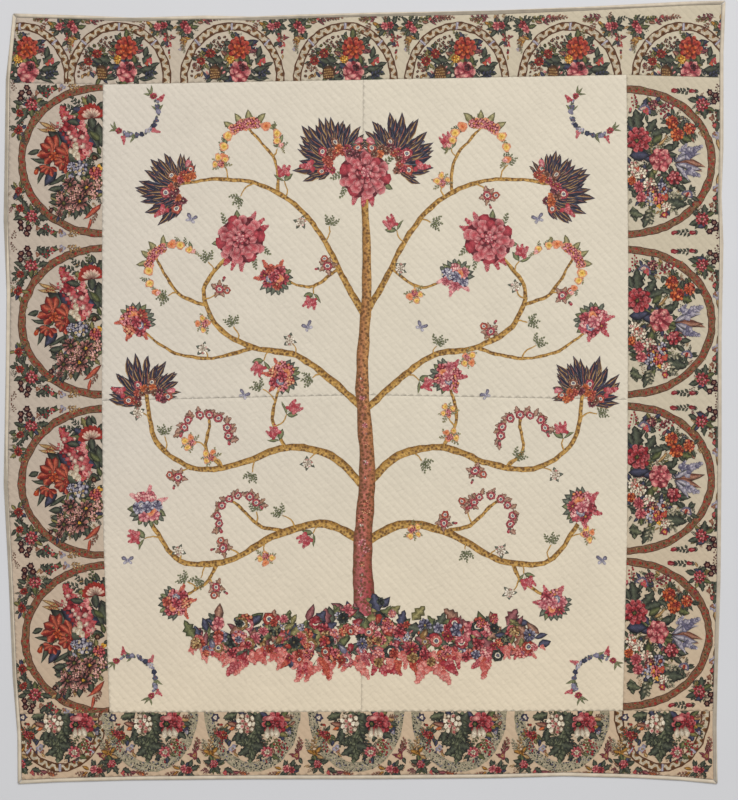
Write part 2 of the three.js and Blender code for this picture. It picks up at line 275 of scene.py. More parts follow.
def piece_from(bm, name, material, cloth, smooth=True):
    """A finished mesh as a piece of the quilt, with distances across and along the quilting as its UV map."""
    mesh = bpy.data.meshes.new(name)
    bm.to_mesh(mesh)
    bm.free()
    mesh.materials.append(material)
    mesh.polygons.foreach_set("use_smooth", [smooth] * len(mesh.polygons))
    place = np.empty(len(mesh.vertices) * 3)
    mesh.vertices.foreach_get("co", place)
    place = place.reshape(-1, 3)
    corners = np.empty(len(mesh.loops), int)
    mesh.loops.foreach_get("vertex_index", corners)
    across, along = quilting_place(place[corners, 0], place[corners, 1], cloth)
    mesh.uv_layers.new(name="quilting").data.foreach_set("uv", np.stack([across, along], 1).ravel())
    piece = bpy.data.objects.new(name, mesh)
    bpy.context.scene.collection.objects.link(piece)
    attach(piece, "root")
    return piece


# Materials

def add(tree, kind, sockets=None, **settings):
    """Adds a node with its settings; sockets gives its inputs a value or another node's output."""
    node = tree.nodes.new(kind)
    for name, value in settings.items():
        setattr(node, name, value)
    for key, value in (sockets or {}).items():
        if isinstance(value, bpy.types.NodeSocket):
            tree.links.new(value, node.inputs[key])
        else:
            node.inputs[key].default_value = value
    return node


def new_material(name):
    material = bpy.data.materials.new(name)
    material.use_nodes = True
    material.node_tree.nodes.clear()
    return material, material.node_tree


def finish_material(tree, colour, bump, roughness, sheen=0.0, specular=0.3):
    shader = add(
        tree,
        "ShaderNodeBsdfPrincipled",
        {"Base Color": colour, "Normal": bump, "Roughness": roughness, "Specular IOR Level": specular},
    )
    if sheen:
        shader.inputs["Sheen Weight"].default_value = sheen
        shader.inputs["Sheen Roughness"].default_value = 0.5
    add(tree, "ShaderNodeOutputMaterial", {"Surface": shader.outputs["BSDF"]})


def scaled_colour(tree, colour, share):
    """The colour made darker or lighter by a share from another node."""
    if not isinstance(colour, bpy.types.NodeSocket):
        colour = tuple(colour)[:3]
    scaled = add(tree, "ShaderNodeVectorMath", {0: colour}, operation="SCALE")
    tree.links.new(share, scaled.inputs["Scale"])
    return scaled.outputs["Vector"]


def patches(tree, place, scale, detail, spread, shares, roughness=0.5):
    """Soft patches over a cloth: their pattern, and the share by which they darken or lighten its colour."""
    settings = {"Vector": place, "Scale": scale, "Detail": detail, "Roughness": roughness}
    pattern = add(tree, "ShaderNodeTexNoise", settings).outputs["Fac"]
    ends = {"From Min": spread[0], "From Max": spread[1], "To Min": shares[0], "To Max": shares[1]}
    return pattern, add(tree, "ShaderNodeMapRange", {"Value": pattern, **ends}).outputs[0]


def cotton_ground(name, base, cool, warm, pitch):
    """Plain weave cotton, quilted by hand and softly aged: matt, puckered and faintly stained."""
    material, tree = new_material(name)
    place = add(tree, "ShaderNodeTexCoord").outputs["Object"]
    lines = add(tree, "ShaderNodeUVMap", uv_map="quilting").outputs["UV"]
    axes = add(tree, "ShaderNodeSeparateXYZ", {0: place})
    quilting = add(tree, "ShaderNodeSeparateXYZ", {0: lines})
    # Greyed towards the left, yellowed towards the foot
    aged = base
    for axis, tone, start, end in (("X", cool, 0.1, -1.2), ("Y", warm, -0.2, -1.4)):
        ends = {"Value": axes.outputs[axis], "From Min": start, "From Max": end, "To Max": 0.9}
        share = add(tree, "ShaderNodeMapRange", ends).outputs[0]
        aged = add(tree, "ShaderNodeMix", {0: share, 6: aged, 7: tone}, data_type="RGBA").outputs[2]
    # Stains some 150 mm across and mottling some 12 mm across
    _, stains = patches(tree, place, 5.5, 4.0, (0.3, 0.7), (0.965, 1.02), roughness=0.55)
    _, mottling = patches(tree, place, 85.0, 2.0, (0.25, 0.75), (0.975, 1.02))
    # Darker along the lines of stitches, partly dirt and partly painted shade in the sewn-down creases, with
    # darker dashes of painted shade in the stitch dimples, 3.2 mm to a stitch
    off_line = add(tree, "ShaderNodeMath", {0: quilting.outputs["X"], 1: pitch / 2}, operation="PINGPONG")
    stitch = add(tree, "ShaderNodeMath", {0: quilting.outputs["Y"], 1: 1.6 * MM}, operation="PINGPONG")
    dirt_and_crease_shade, stitch_dimple_shade = (
        add(
            tree,
            "ShaderNodeMapRange",
            {"Value": value.outputs[0], "From Min": near * MM, "From Max": far * MM, "To Min": shade},
        )
        for value, near, far, shade in ((off_line, 0.4, 6.0, 0.965), (stitch, 0.6, 0.9, 0.9))
    )
    # Painted shade: on the line itself each stitch gets a darker dash where the thread dimples the cloth
    on_line = add(tree, "ShaderNodeMath", {0: off_line.outputs[0], 1: 0.7 * MM}, operation="LESS_THAN")
    shaded_stitch_line = add(tree, "ShaderNodeMix", {0: on_line.outputs[0], 2: 1.0, 3: stitch_dimple_shade.outputs[0]})
    for share in (stains, mottling, dirt_and_crease_shade.outputs[0], shaded_stitch_line.outputs[0]):
        aged = scaled_colour(tree, aged, share)
    # Puckers cross the channels every 9 mm or so; the weave is drawn at 1.6 mm, coarser than its real 0.4 mm
    stretched = add(tree, "ShaderNodeMapping", {"Vector": lines, "Scale": (45.0, 110.0, 1.0)}).outputs[0]
    bump = None
    for vector, scale, detail, depth, strength in (
        (place, 30.0, 2.0, 4.0, 0.6),
        (stretched, 1.0, 3.0, 3.2, 0.9),
        (place, 620.0, 1.0, 0.3, 0.5),
    ):
        relief = add(tree, "ShaderNodeTexNoise", {"Vector": vector, "Scale": scale, "Detail": detail})
        settings = {"Height": relief.outputs["Fac"], "Distance": depth * MM, "Strength": strength}
        if bump:
            settings["Normal"] = bump
        bump = add(tree, "ShaderNodeBump", settings).outputs[0]
    finish_material(tree, aged, bump, 0.85, sheen=0.08, specular=0.2)
    return material


def chintz(name, pitch, flecks=0.0, depth=1.0):
    """Block-printed glazed cotton: inks a little uneven and worn, with a soft gloss left from the glaze."""
    material, tree = new_material(name)
    plain_ink = add(tree, "ShaderNodeAttribute", attribute_name="tint").outputs["Color"]
    ink = add(tree, "ShaderNodeGamma", {"Color": plain_ink, "Gamma": depth}).outputs["Color"]
    place = add(tree, "ShaderNodeTexCoord").outputs["Object"]
    lines = add(tree, "ShaderNodeUVMap", uv_map="quilting").outputs["UV"]
    quilting = add(tree, "ShaderNodeSeparateXYZ", {0: lines})
    # The ink lies unevenly at 8 mm and the block's fine cross lines stand some 3 mm apart
    _, uneven = patches(tree, place, 130.0, 3.0, (0.3, 0.7), (0.72, 1.22))
    threads, fine = patches(tree, place, 420.0, 1.0, (0.36, 0.64), (0.56, 1.22))
    colour = scaled_colour(tree, scaled_colour(tree, ink, uneven), fine)
    if flecks:
        # Dark mottles some 12 mm apart, as on printed bark
        cells = add(tree, "ShaderNodeTexVoronoi", {"Vector": place, "Scale": 82.0, "Randomness": 1.0})
        mottled = add(
            tree,
            "ShaderNodeMapRange",
            {"Value": cells.outputs[0], "From Min": 0.26, "From Max": 0.6, "To Min": flecks, "To Max": 0.0},
        )
        dark = INKS["ochre"][HEART]
        fleck = add(tree, "ShaderNodeMix", {0: mottled.outputs[0], 6: colour, 7: dark}, data_type="RGBA")
        colour = fleck.outputs[2]
    off_line = add(tree, "ShaderNodeMath", {0: quilting.outputs["X"], 1: pitch / 2}, operation="PINGPONG")
    channel = add(
        tree,
        "ShaderNodeMapRange",
        {"Value": off_line.outputs[0], "From Max": pitch / 2, "To Max": 1.0},
        interpolation_type="SMOOTHSTEP",
    )
    settings = {"Height": channel.outputs[0], "Distance": 1.6 * MM, "Strength": 0.8}
    channels = add(tree, "ShaderNodeBump", settings)
    settings = {"Height": threads, "Distance": 0.25 * MM, "Strength": 0.4, "Normal": channels.outputs[0]}
    finish_material(tree, colour, add(tree, "ShaderNodeBump", settings).outputs[0], 0.62, specular=0.25)
    return material


def binding_tape(name, base):
    """Folded cotton strip, worn grey-brown where hands and beds have rubbed it."""
    material, tree = new_material(name)
    place = add(tree, "ShaderNodeTexCoord").outputs["Object"]
    _, wear = patches(tree, place, 30.0, 4.0, (0.3, 0.7), (0.86, 1.08))
    threads = add(tree, "ShaderNodeTexNoise", {"Vector": place, "Scale": 500.0, "Detail": 1.0}).outputs["Fac"]
    bump = add(tree, "ShaderNodeBump", {"Height": threads, "Distance": 0.3 * MM, "Strength": 0.5})
    finish_material(tree, scaled_colour(tree, base, wear), bump.outputs[0], 0.85, specular=0.2)
    return material


def pale_floor(name, base):
    """Matt painted floor with barely visible roller marks."""
    material, tree = new_material(name)
    place = add(tree, "ShaderNodeTexCoord").outputs["Object"]
    marks, share = patches(tree, place, 3.0, 3.0, (0.0, 1.0), (0.98, 1.02))
    bump = add(tree, "ShaderNodeBump", {"Height": marks, "Distance": 0.2 * MM, "Strength": 0.2})
    finish_material(tree, scaled_colour(tree, base, share), bump.outputs[0], 0.9, specular=0.2)
    return material


# Shapes that the print is made of, in units of their own size along +X. Each is a thin closed shell: a front
# and a back that shares its rim and dips a hair below.

def between(a, b, share):
    return tuple(p + (q - p) * share for p, q in zip(a, b))


def turned(x, y, turn):
    cos, sin = math.cos(math.radians(turn)), math.sin(math.radians(turn))
    return x * cos - y * sin, x * sin + y * cos


def face_up(verts, up):
    for face in {f for v in verts for f in v.link_faces}:
        face.normal_update()
        if (face.normal.z > 0) != up:
            face.normal_flip()


def fan_patch(bm, points, place):
    """A round shell; place gives the spot and colour for a cosine and sine, or for None at the middle."""
    tint = bm.verts.layers.float_color["tint"]
    for back in (False, True):
        made = bmesh.ops.create_circle(bm, cap_ends=True, cap_tris=True, segments=points, radius=1)["verts"]
        for vert in made:
            cos, sin, _ = vert.co
            middle = math.hypot(cos, sin) < 0.5
            spot, vert[tint] = place(None if middle else (cos, sin))
            vert.co = (spot[0], spot[1], spot[2] - (SHELL if middle and back else 0))
        face_up(made, not back)


def grid_patch(bm, steps, across, place):
    """A long shell; place gives a point's spot and colour from its step along and its row across."""
    tint = bm.verts.layers.float_color["tint"]
    shell, low = [], set()
    for back in (False, True):
        made = bmesh.ops.create_grid(bm, x_segments=steps, y_segments=across, size=1)["verts"]
        for vert in made:
            step, row = round((vert.co.x + 1) / 2 * steps), round((vert.co.y + 1) / 2 * across)
            spot, vert[tint] = place(step, row)
            inner = 0 < step < steps and 0 < row < across
            vert.co = Vector(spot) - Vector((0, 0, SHELL if inner and back else 0))
            if inner and back:
                low.add(vert)
        around = {f for v in low for f in v.link_faces}
        for ends in [list(f.verts) for f in around if sum(v in low for v in f.verts) == 1]:
            dipped = next(i for i, vert in enumerate(ends) if vert in low)
            face = next(f for f in ends[dipped].link_faces if set(f.verts) == set(ends))
            bmesh.utils.face_split(face, ends[dipped], ends[dipped - 2])
        face_up(made, not back)
        shell += made
    bmesh.ops.remove_doubles(bm, verts=shell, dist=CLOSE)


def disc(bm, points, middle, rim, at=(0, 0), radius=1.0, stretch=1.0, bite=0.0, lift=0.0):
    """A round patch, coloured from middle to rim; every second point of the rim stands in by the bite."""

    def place(point):
        if point is None:
            return (*at, lift * LAYER), middle
        step = round(math.degrees(math.atan2(point[1], point[0])) / (360 / points)) % 2 if bite else 0
        reach = radius * (1 - bite * step)
        spot = (at[0] + point[0] * reach, at[1] + point[1] * reach * stretch, lift * LAYER)
        return spot, between(rim, middle, 0.35) if step else rim

    fan_patch(bm, points, place)


def petal(bm, inks, at=(0, 0), turn=0.0, length=1.0, width=0.3, lift=0.0, points=7):
    """A petal from its narrow foot to its round tip, one side a hair higher; its inks are foot, body, tip."""

    def place(point):
        if point is None:
            x, y, side, colour = 0.62, 0, 0, inks[1]
        else:
            x, side = 0.5 + 0.5 * point[0], point[1]
            y = side * (0.4 + 0.6 * x)
            colour = between(inks[0], inks[2], x)
        px, py = turned(x * length, y * width, turn)
        return (at[0] + px, at[1] + py, (lift + 0.45 * side) * LAYER), colour

    fan_patch(bm, points, place)


def ring(bm, draw, count, choices, start, length, width, turn=0.0, lift=0.0, points=7):
    """Petals round a middle, each over the next and none quite like another."""
    for i in range(count):
        angle = turn + 360 * (i + draw.uniform(-0.14, 0.14)) / count
        petal(
            bm, draw.choice(choices), turned(start, 0, angle), angle + draw.uniform(-7, 7),
            length * draw.uniform(0.86, 1.08), width * draw.uniform(0.85, 1.15), lift, points,
        )


def leaf(
    bm, rows, at=(0, 0), turn=0.0, length=1.0, width=0.25, bend=0.0, steps=4, notch=0.0, blunt=0.85, lift=0.0
):
    """A leaf from its foot along a line that bends; rows are the shares and colours across it."""

    def place(step, row):
        share = step / steps
        reach, colour = rows[row]
        half = width * math.sin(math.pi * share**blunt) * (1 - notch * (step % 2))
        x, y = turned(share * length, half * reach + bend * share * (share - 0.2), turn)
        return (at[0] + x, at[1] + y, lift * LAYER), colour

    grid_patch(bm, steps, len(rows) - 1, place)


def leaf_rows(inks):
    """Leaf colours: a dark edge, a light rib and a half in shade."""
    return [(-1, inks[EDGE]), (0.06, inks[LIGHT]), (1, inks[DEEP])]


def stem(bm, inks, length=0.95):
    leaf(bm, [(-1, inks[EDGE]), (0, inks[MIDDLE]), (1, inks[DEEP])], length=length, width=0.018, steps=3)


def tones(c, *choices):
    return [tuple(c[tone] for tone in choice) for choice in choices]


def bright(c):
    return tones(c, (EDGE, LIGHT, DEEP), (EDGE, MIDDLE, LIGHT), (DEEP, LIGHT, MIDDLE))


def shaded(c):
    return tones(c, (EDGE, MIDDLE, DEEP), (EDGE, DEEP, MIDDLE), (EDGE, MIDDLE, EDGE))


def ruffled(c):
    return tones(c, (EDGE, MIDDLE, LIGHT), (EDGE, DEEP, LIGHT), (DEEP, MIDDLE, LIGHT), (EDGE, MIDDLE, DEEP))


def rose(bm, c, draw):
    disc(bm, 10, c[EDGE], c[EDGE], radius=0.92, bite=0.12)
    ring(bm, draw, 6, bright(c), 0.32, 0.64, 0.37, lift=1)
    ring(bm, draw, 5, shaded(c), 0.08, 0.56, 0.31, turn=25, lift=2.2)
    petal(bm, (c[DEEP], c[LIGHT], c[MIDDLE]), (-0.1, 0.05), 200, 0.34, 0.16, 3.4)
    disc(bm, 6, c[DEEP], c[EDGE], at=(0.08, -0.04), radius=0.16, lift=4)


def peony(bm, c, draw):
    disc(bm, 16, c[EDGE], c[EDGE], radius=0.93, bite=0.09)
    ring(bm, draw, 10, ruffled(c), 0.5, 0.5, 0.27, lift=1, points=8)
    ring(bm, draw, 9, ruffled(c), 0.36, 0.44, 0.25, turn=20, lift=2.2, points=8)
    ring(bm, draw, 7, ruffled(c), 0.2, 0.4, 0.22, turn=8, lift=3.4)
    ring(bm, draw, 6, shaded(c), 0.05, 0.36, 0.18, turn=33, lift=4.6)
    ring(bm, draw, 4, bright(c), 0.0, 0.22, 0.1, turn=60, lift=5.8, points=5)


def floret(bm, c, draw):
    disc(bm, 10, c[LIGHT], c[MIDDLE], bite=0.4)
    disc(bm, 5, c[HEART], c[DEEP], radius=0.32, lift=1)


def ringed(bm, c, draw):
    disc(bm, 12, c[DEEP], c[EDGE], bite=0.26)
    disc(bm, 7, c[HEART], c[MIDDLE], radius=0.42, lift=1)
    disc(bm, 5, c[EDGE], c[DEEP], radius=0.18, lift=2)


def dahlia(bm, c, draw):
    disc(bm, 9, c[EDGE], c[EDGE], radius=0.82)
    ring(bm, draw, 9, ruffled(c), 0.36, 0.62, 0.25, lift=1, points=6)
    ring(bm, draw, 7, shaded(c), 0.14, 0.5, 0.2, turn=15, lift=2.2, points=5)
    disc(bm, 6, c[HEART], c[EDGE], radius=0.22, lift=3.4)


def carnation(bm, c, draw):
    leaf(bm, leaf_rows(INKS["teal"]), at=(-1.05, 0), length=1.2, width=0.32)
    for i in range(9):
        inks = draw.choice(tones(c, (EDGE, MIDDLE, DEEP), (EDGE, DEEP, MIDDLE)))
        petal(bm, inks, (-0.1, 0), -84 + 21 * i, 1.0, 0.28, 1 + 0.1 * i)
    inner = (c[EDGE], INKS["white"][MIDDLE], INKS["pink"][LIGHT])
    for i in range(7):
        petal(bm, inner, (-0.15, 0), -66 + 22 * i, 0.72, 0.17, 2.8 + 0.1 * i)


def lily(bm, c, draw):
    rows = [(-1, c[EDGE]), (-0.2, c[DEEP]), (0.2, c[LIGHT]), (1, c[EDGE])]
    for i, angle in enumerate((-66, 62, -34, 36, 2)):
        turn, length = angle + draw.uniform(-6, 6), draw.uniform(1.2, 1.45)
        leaf(bm, rows, (-0.6, 0), turn, length, 0.44, 0.003 * angle, 5, notch=0.14, blunt=1.25, lift=i * 0.4)
    disc(bm, 6, INKS["olive"][LIGHT], c[EDGE], at=(-0.2, 0), radius=0.13, lift=2.4)


def bud(bm, c, draw):
    petal(bm, (c[EDGE], c[MIDDLE], c[DEEP]), (-0.7, 0), 0, 1.7, 0.66)
    petal(bm, (c[EDGE], c[LIGHT], c[DEEP]), (-0.6, 0), 8, 1.2, 0.3, 1)
    for i, angle in enumerate((32, -32)):
        leaf(bm, leaf_rows(INKS["teal"]), (-1.0, 0), angle, width=0.2, steps=2, lift=1.6 + 0.3 * i)


def spike(bm, c, draw):
    stem(bm, INKS["teal"])
    choices = tones(c, (LIGHT, DEEP), (MIDDLE, EDGE), (LIGHT, MIDDLE)) + [(INKS["white"][LIGHT], c[DEEP])]
    for i in range(16):
        along = 0.08 + 0.9 * (i / 15)
        size = 0.125 - 0.075 * (i / 15)
        side = size * draw.uniform(0.4, 1.0) * (1 if i % 2 else -1)
        disc(bm, 8, *draw.choice(choices), (along, side), size, bite=0.4, lift=1 + 0.2 * i)


def raceme(bm, c, draw):
    stem(bm, INKS["green"], 0.6)
    choices = tones(c, (LIGHT, MIDDLE), (MIDDLE, DEEP), (LIGHT, DEEP))
    for i in range(13):
        along = 0.3 + 0.65 * (i / 12)
        size = 0.15 - 0.07 * (i / 12)
        side = draw.uniform(0.2, 1.6) * size * (1 if i % 2 else -1) * (1.15 - along)
        disc(bm, 6, *draw.choice(choices), (along, side), size, bite=0.3, lift=1 + 0.2 * i)


def cone(bm, c, draw):
    disc(bm, 11, c[DEEP], c[EDGE], stretch=0.82)
    for row in range(4):
        for i in range(5):
            at = (-0.62 + 0.34 * row, 0.28 * (i - 2) * (1 - 0.12 * row) + 0.1 * (row % 2))
            disc(bm, 4, c[LIGHT], c[DEEP], at, 0.15, lift=1 + 0.1 * row)


def speckled(bm, c, draw):
    disc(bm, 10, c[EDGE], c[EDGE], radius=0.96, bite=0.1)
    for count, reach in ((9, 0.76), (5, 0.4), (1, 0)):
        for i in range(count):
            at = turned(reach * draw.uniform(0.92, 1.06), 0, 360 * i / count + draw.uniform(-8, 8))
            eye = draw.choice((c[LIGHT], c[LIGHT], c[HEART]))
            rim = draw.choice((c[LIGHT], c[MIDDLE], c[DEEP]))
            disc(bm, 6, eye, rim, at, 0.24, bite=0.25, lift=1 + 0.3 * (i % 3))


def berry(bm, c, draw):
    disc(bm, 5, c[MIDDLE], c[DEEP])


def eyed(bm, c, draw):
    disc(bm, 12, c[MIDDLE], c[EDGE], bite=0.14)
    ring(bm, draw, 6, [(c[MIDDLE], c[DEEP], c[LIGHT])], 0.42, 0.46, 0.26, lift=1, points=5)
    disc(bm, 8, INKS["white"][LIGHT], INKS["white"][MIDDLE], radius=0.46, lift=2.2)
    disc(bm, 6, INKS["lilac"][MIDDLE], INKS["navy"][DEEP], radius=0.3, lift=3.2)


def bloom(bm, c, draw):
    disc(bm, 10, c[LIGHT], INKS["coral"][LIGHT], bite=0.2)
    disc(bm, 8, c[MIDDLE], c[LIGHT], radius=0.66, bite=0.1, lift=1)
    disc(bm, 5, c[DEEP], c[MIDDLE], radius=0.3, lift=2)


def scallop(bm, c, draw):
    leaf(bm, [(0, c[EDGE]), (0.5, c[DEEP]), (1, c[MIDDLE])], at=(-0.5, 0), width=0.72, blunt=1.0)


def plain_petal(bm, c, draw):
    petal(bm, (c[EDGE], c[LIGHT], c[MIDDLE]), width=0.34)


def plain_leaf(bm, c, draw):
    leaf(bm, leaf_rows(c), width=draw.uniform(0.2, 0.27), bend=draw.uniform(-0.15, 0.15))


def long_leaf(bm, c, draw):
    leaf(bm, leaf_rows(c), width=0.12, bend=draw.choice((-0.2, 0.18)), steps=5)


def lobed_leaf(bm, c, draw):
    leaf(bm, leaf_rows(c), width=0.36, bend=draw.uniform(-0.1, 0.1), steps=7, notch=0.4)


def plume_leaf(bm, c, draw):
    shares = {-1: LIGHT, -0.75: EDGE, 0.0: DEEP, 0.18: HEART, 0.4: EDGE, 1: MIDDLE}
    rows = [(share, c[tone]) for share, tone in shares.items()]
    leaf(bm, rows, width=0.13, bend=draw.uniform(0.14, 0.26), steps=6, notch=0.12, blunt=1.3)


def sprig(bm, c, draw):
    stem(bm, c)
    for i in range(7):
        angle = 0 if i == 6 else (48 if i % 2 else -48) + draw.uniform(-10, 10)
        at, length = (0.15 + 0.12 * i, 0), 0.36 - 0.025 * i
        leaf(bm, leaf_rows(c), at, angle, length, width=0.09, steps=2, lift=1 + 0.1 * i)


def berries(bm, c, draw):
    stem(bm, INKS["olive"])
    for i in range(8):
        side = 0 if i == 7 else draw.uniform(0.06, 0.2) * (1 if i % 2 else -1)
        disc(bm, 5, c[MIDDLE], c[DEEP], (0.2 + 0.11 * i, side), 0.075, lift=1)


def butterfly(bm, c, draw):
    for side in (1, -1):
        petal(bm, (c[DEEP], c[MIDDLE], c[EDGE]), turn=52 * side, length=1.0, width=0.36, lift=1)
        petal(bm, (c[DEEP], c[LIGHT], c[MIDDLE]), turn=128 * side, length=0.75, width=0.3, lift=2)
    leaf(bm, leaf_rows(c), at=(-0.45, 0), length=0.95, width=0.07, lift=3)


TEMPLATES = {
    shape.__name__.removeprefix("plain_"): shape
    for shape in (
        rose, peony, floret, ringed, dahlia, carnation, lily, bud, spike, raceme, cone, speckled, berry, eyed,
        bloom, scallop, plain_petal, plain_leaf, long_leaf, lobed_leaf, plume_leaf, sprig, berries, butterfly,
    )
}
VARIANTS = 3
CUT_BLOCKS = {}


def block_for(kind, inks, variant):
    """One printed shape in one set of inks: its mesh, its height, and the circle that holds it."""
    key = (kind, inks, variant)
    if key not in CUT_BLOCKS:
        bm = bmesh.new()
        bm.verts.layers.float_color.new("tint")
        TEMPLATES[kind](bm, INKS[inks], random.Random(f"{kind} {inks} {variant}"))
        bmesh.ops.remove_doubles(bm, verts=bm.verts, dist=CLOSE)
        bmesh.ops.dissolve_degenerate(bm, edges=bm.edges, dist=CLOSE)
        height = max(v.co.z for v in bm.verts)
        middle = (min(v.co.x for v in bm.verts) + max(v.co.x for v in bm.verts)) / 2
        reach = max(math.hypot(v.co.x - middle, v.co.y) for v in bm.verts)
        mesh = bpy.data.meshes.new(f"block_{kind}_{inks}_{variant}")
        bm.to_mesh(mesh)
        bm.free()
        CUT_BLOCKS[key] = mesh, height, middle, reach
    return CUT_BLOCKS[key]


def smooth_line(points, steps):
    """A smooth line through points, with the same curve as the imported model's stems."""
    points = [Vector(p) for p in points]
    ends = [2 * points[0] - points[1], *points, 2 * points[-1] - points[-2]]
    line = []
    for i in range(len(points) - 1):
        a, b, c, d = ends[i : i + 4]
        before, within, after = ((q - p).length ** 0.5 for p, q in ((a, b), (b, c), (c, d)))
        out = ((b - a) / before - (c - a) / (before + within) + (c - b) / within) * within
        into = ((c - b) / within - (d - b) / (within + after) + (d - c) / after) * within
        for k in range(steps):
            t = k / steps
            line.append(
                (2 * t**3 - 3 * t**2 + 1) * b
                + (t**3 - 2 * t**2 + t) * out
                + (3 * t**2 - 2 * t**3) * c
                + (t**3 - t**2) * into
            )
    line.append(points[-1])
    return line


def by_hand(x, y):
    """How far a place on the block strays from where it was drawn."""
    dx = 1.5 * math.sin(61 * x + 43 * y) + math.sin(137 * y - 29 * x + 2) + 0.7 * math.sin(290 * y + 180 * x)
    dy = 1.5 * math.sin(53 * y - 47 * x + 1) + math.sin(129 * x + 31 * y) + 0.7 * math.sin(310 * x - 160 * y)
    return dx * MM, dy * MM


class Print:
    """A piece built up of printed shapes, each laid over those before it. Sizes are in millimetres."""

    def __init__(self):
        self.bm = bmesh.new()
        self.bm.verts.layers.float_color.new("tint")
        self.base = Matrix.Identity(4)
        self.laid = []

    def move_to(self, x, y, turn=0.0, flip_x=1, flip_y=1):
        """Starts a new group of shapes round a point, mirrored where a flip is -1."""
        self.base = (
            Matrix.Translation((x * MM, y * MM, 0))
            @ Matrix.Diagonal((flip_x, flip_y, 1, 1))
            @ Matrix.Rotation(math.radians(turn), 4, "Z")
        )

    def clear_level(self, places, reach, height):
        """The level at which a shape held by circles at some places lies over all that is under it."""
        spots = [self.base @ Vector((x * MM, y * MM, 0)) for x, y in places]
        level = LAYER
        for spot in spots:
            for px, py, r, top in self.laid:
                if top + LAYER > level and math.hypot(px - spot.x, py - spot.y) < r + reach * MM:
                    level = top + LAYER
        self.laid += [(spot.x, spot.y, reach * MM, level + height) for spot in spots]
        return level

    def stamp(self, kind, inks, x, y, size, turn=0.0):
        mesh, height, middle, reach = block_for(kind, inks, len(self.laid) % VARIANTS)
        dx, dy = turned(middle * size, 0, turn)
        level = self.clear_level([(x + dx, y + dy)], reach * size, height)
        copy = mesh.copy()
        copy.transform(
            self.base
            @ Matrix.Translation((x * MM, y * MM, level))
            @ Matrix.Rotation(math.radians(turn), 4, "Z")
            @ Matrix.Diagonal((size * MM, size * MM, 1, 1))
        )
        if self.base.determinant() < 0:
            copy.flip_normals()
        self.bm.from_mesh(copy)
        bpy.data.meshes.remove(copy)

    def lay(self, shapes):
        for shape in shapes:
            self.stamp(*shape)

    def strip(self, line, halves, rows, tip_rows=None):
        """A band along a line: its half widths at both ends and the shares and colours of its rows."""
        steps = len(line) - 1
        line = [Vector(p) for p in line]
        spans = [(a + b) / 2 for a, b in zip(line, line[1:])]
        level = self.clear_level(spans, max(halves) + 6, 0)

        def place(step, row):
            along = (line[min(step + 1, steps)] - line[max(step - 1, 0)]).normalized()
            half = halves[0] + (halves[1] - halves[0]) * step / steps
            reach, colour = rows[row]
            if tip_rows:
                colour = between(colour, tip_rows[row][1], step / steps)
            x, y = line[step].x - along.y * half * reach, line[step].y + along.x * half * reach
            return self.base @ Vector((x * MM, y * MM, level)), colour

        grid_patch(self.bm, steps, len(rows) - 1, place)

    def finish(self, name, material, cloth, level, replaced=(), outline=None):
        for vert in self.bm.verts:
            dx, dy = by_hand(vert.co.x, vert.co.y)
            vert.co.x += dx
            vert.co.y += dy
        if outline:
            cut_to(self.bm, outline)
            bmesh.ops.holes_fill(self.bm, edges=[e for e in self.bm.edges if e.is_boundary], sides=0)
        bmesh.ops.translate(self.bm, verts=self.bm.verts, vec=(0, 0, level))
        piece = piece_from(self.bm, name, material, cloth, smooth=False)
        if replaced:
            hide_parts(*replaced)


# The printed borders

def laid_out(*groups):
    """The shapes of a bouquet in the order in which they are laid, each with its own kind and inks.

    A group has a kind of shape, its inks and, for each such shape, its distance out from the seam and up from
    the middle, its size and its turn in degrees.
    """
    return [(kind, inks, *place) for kind, inks, *places in groups for place in places]


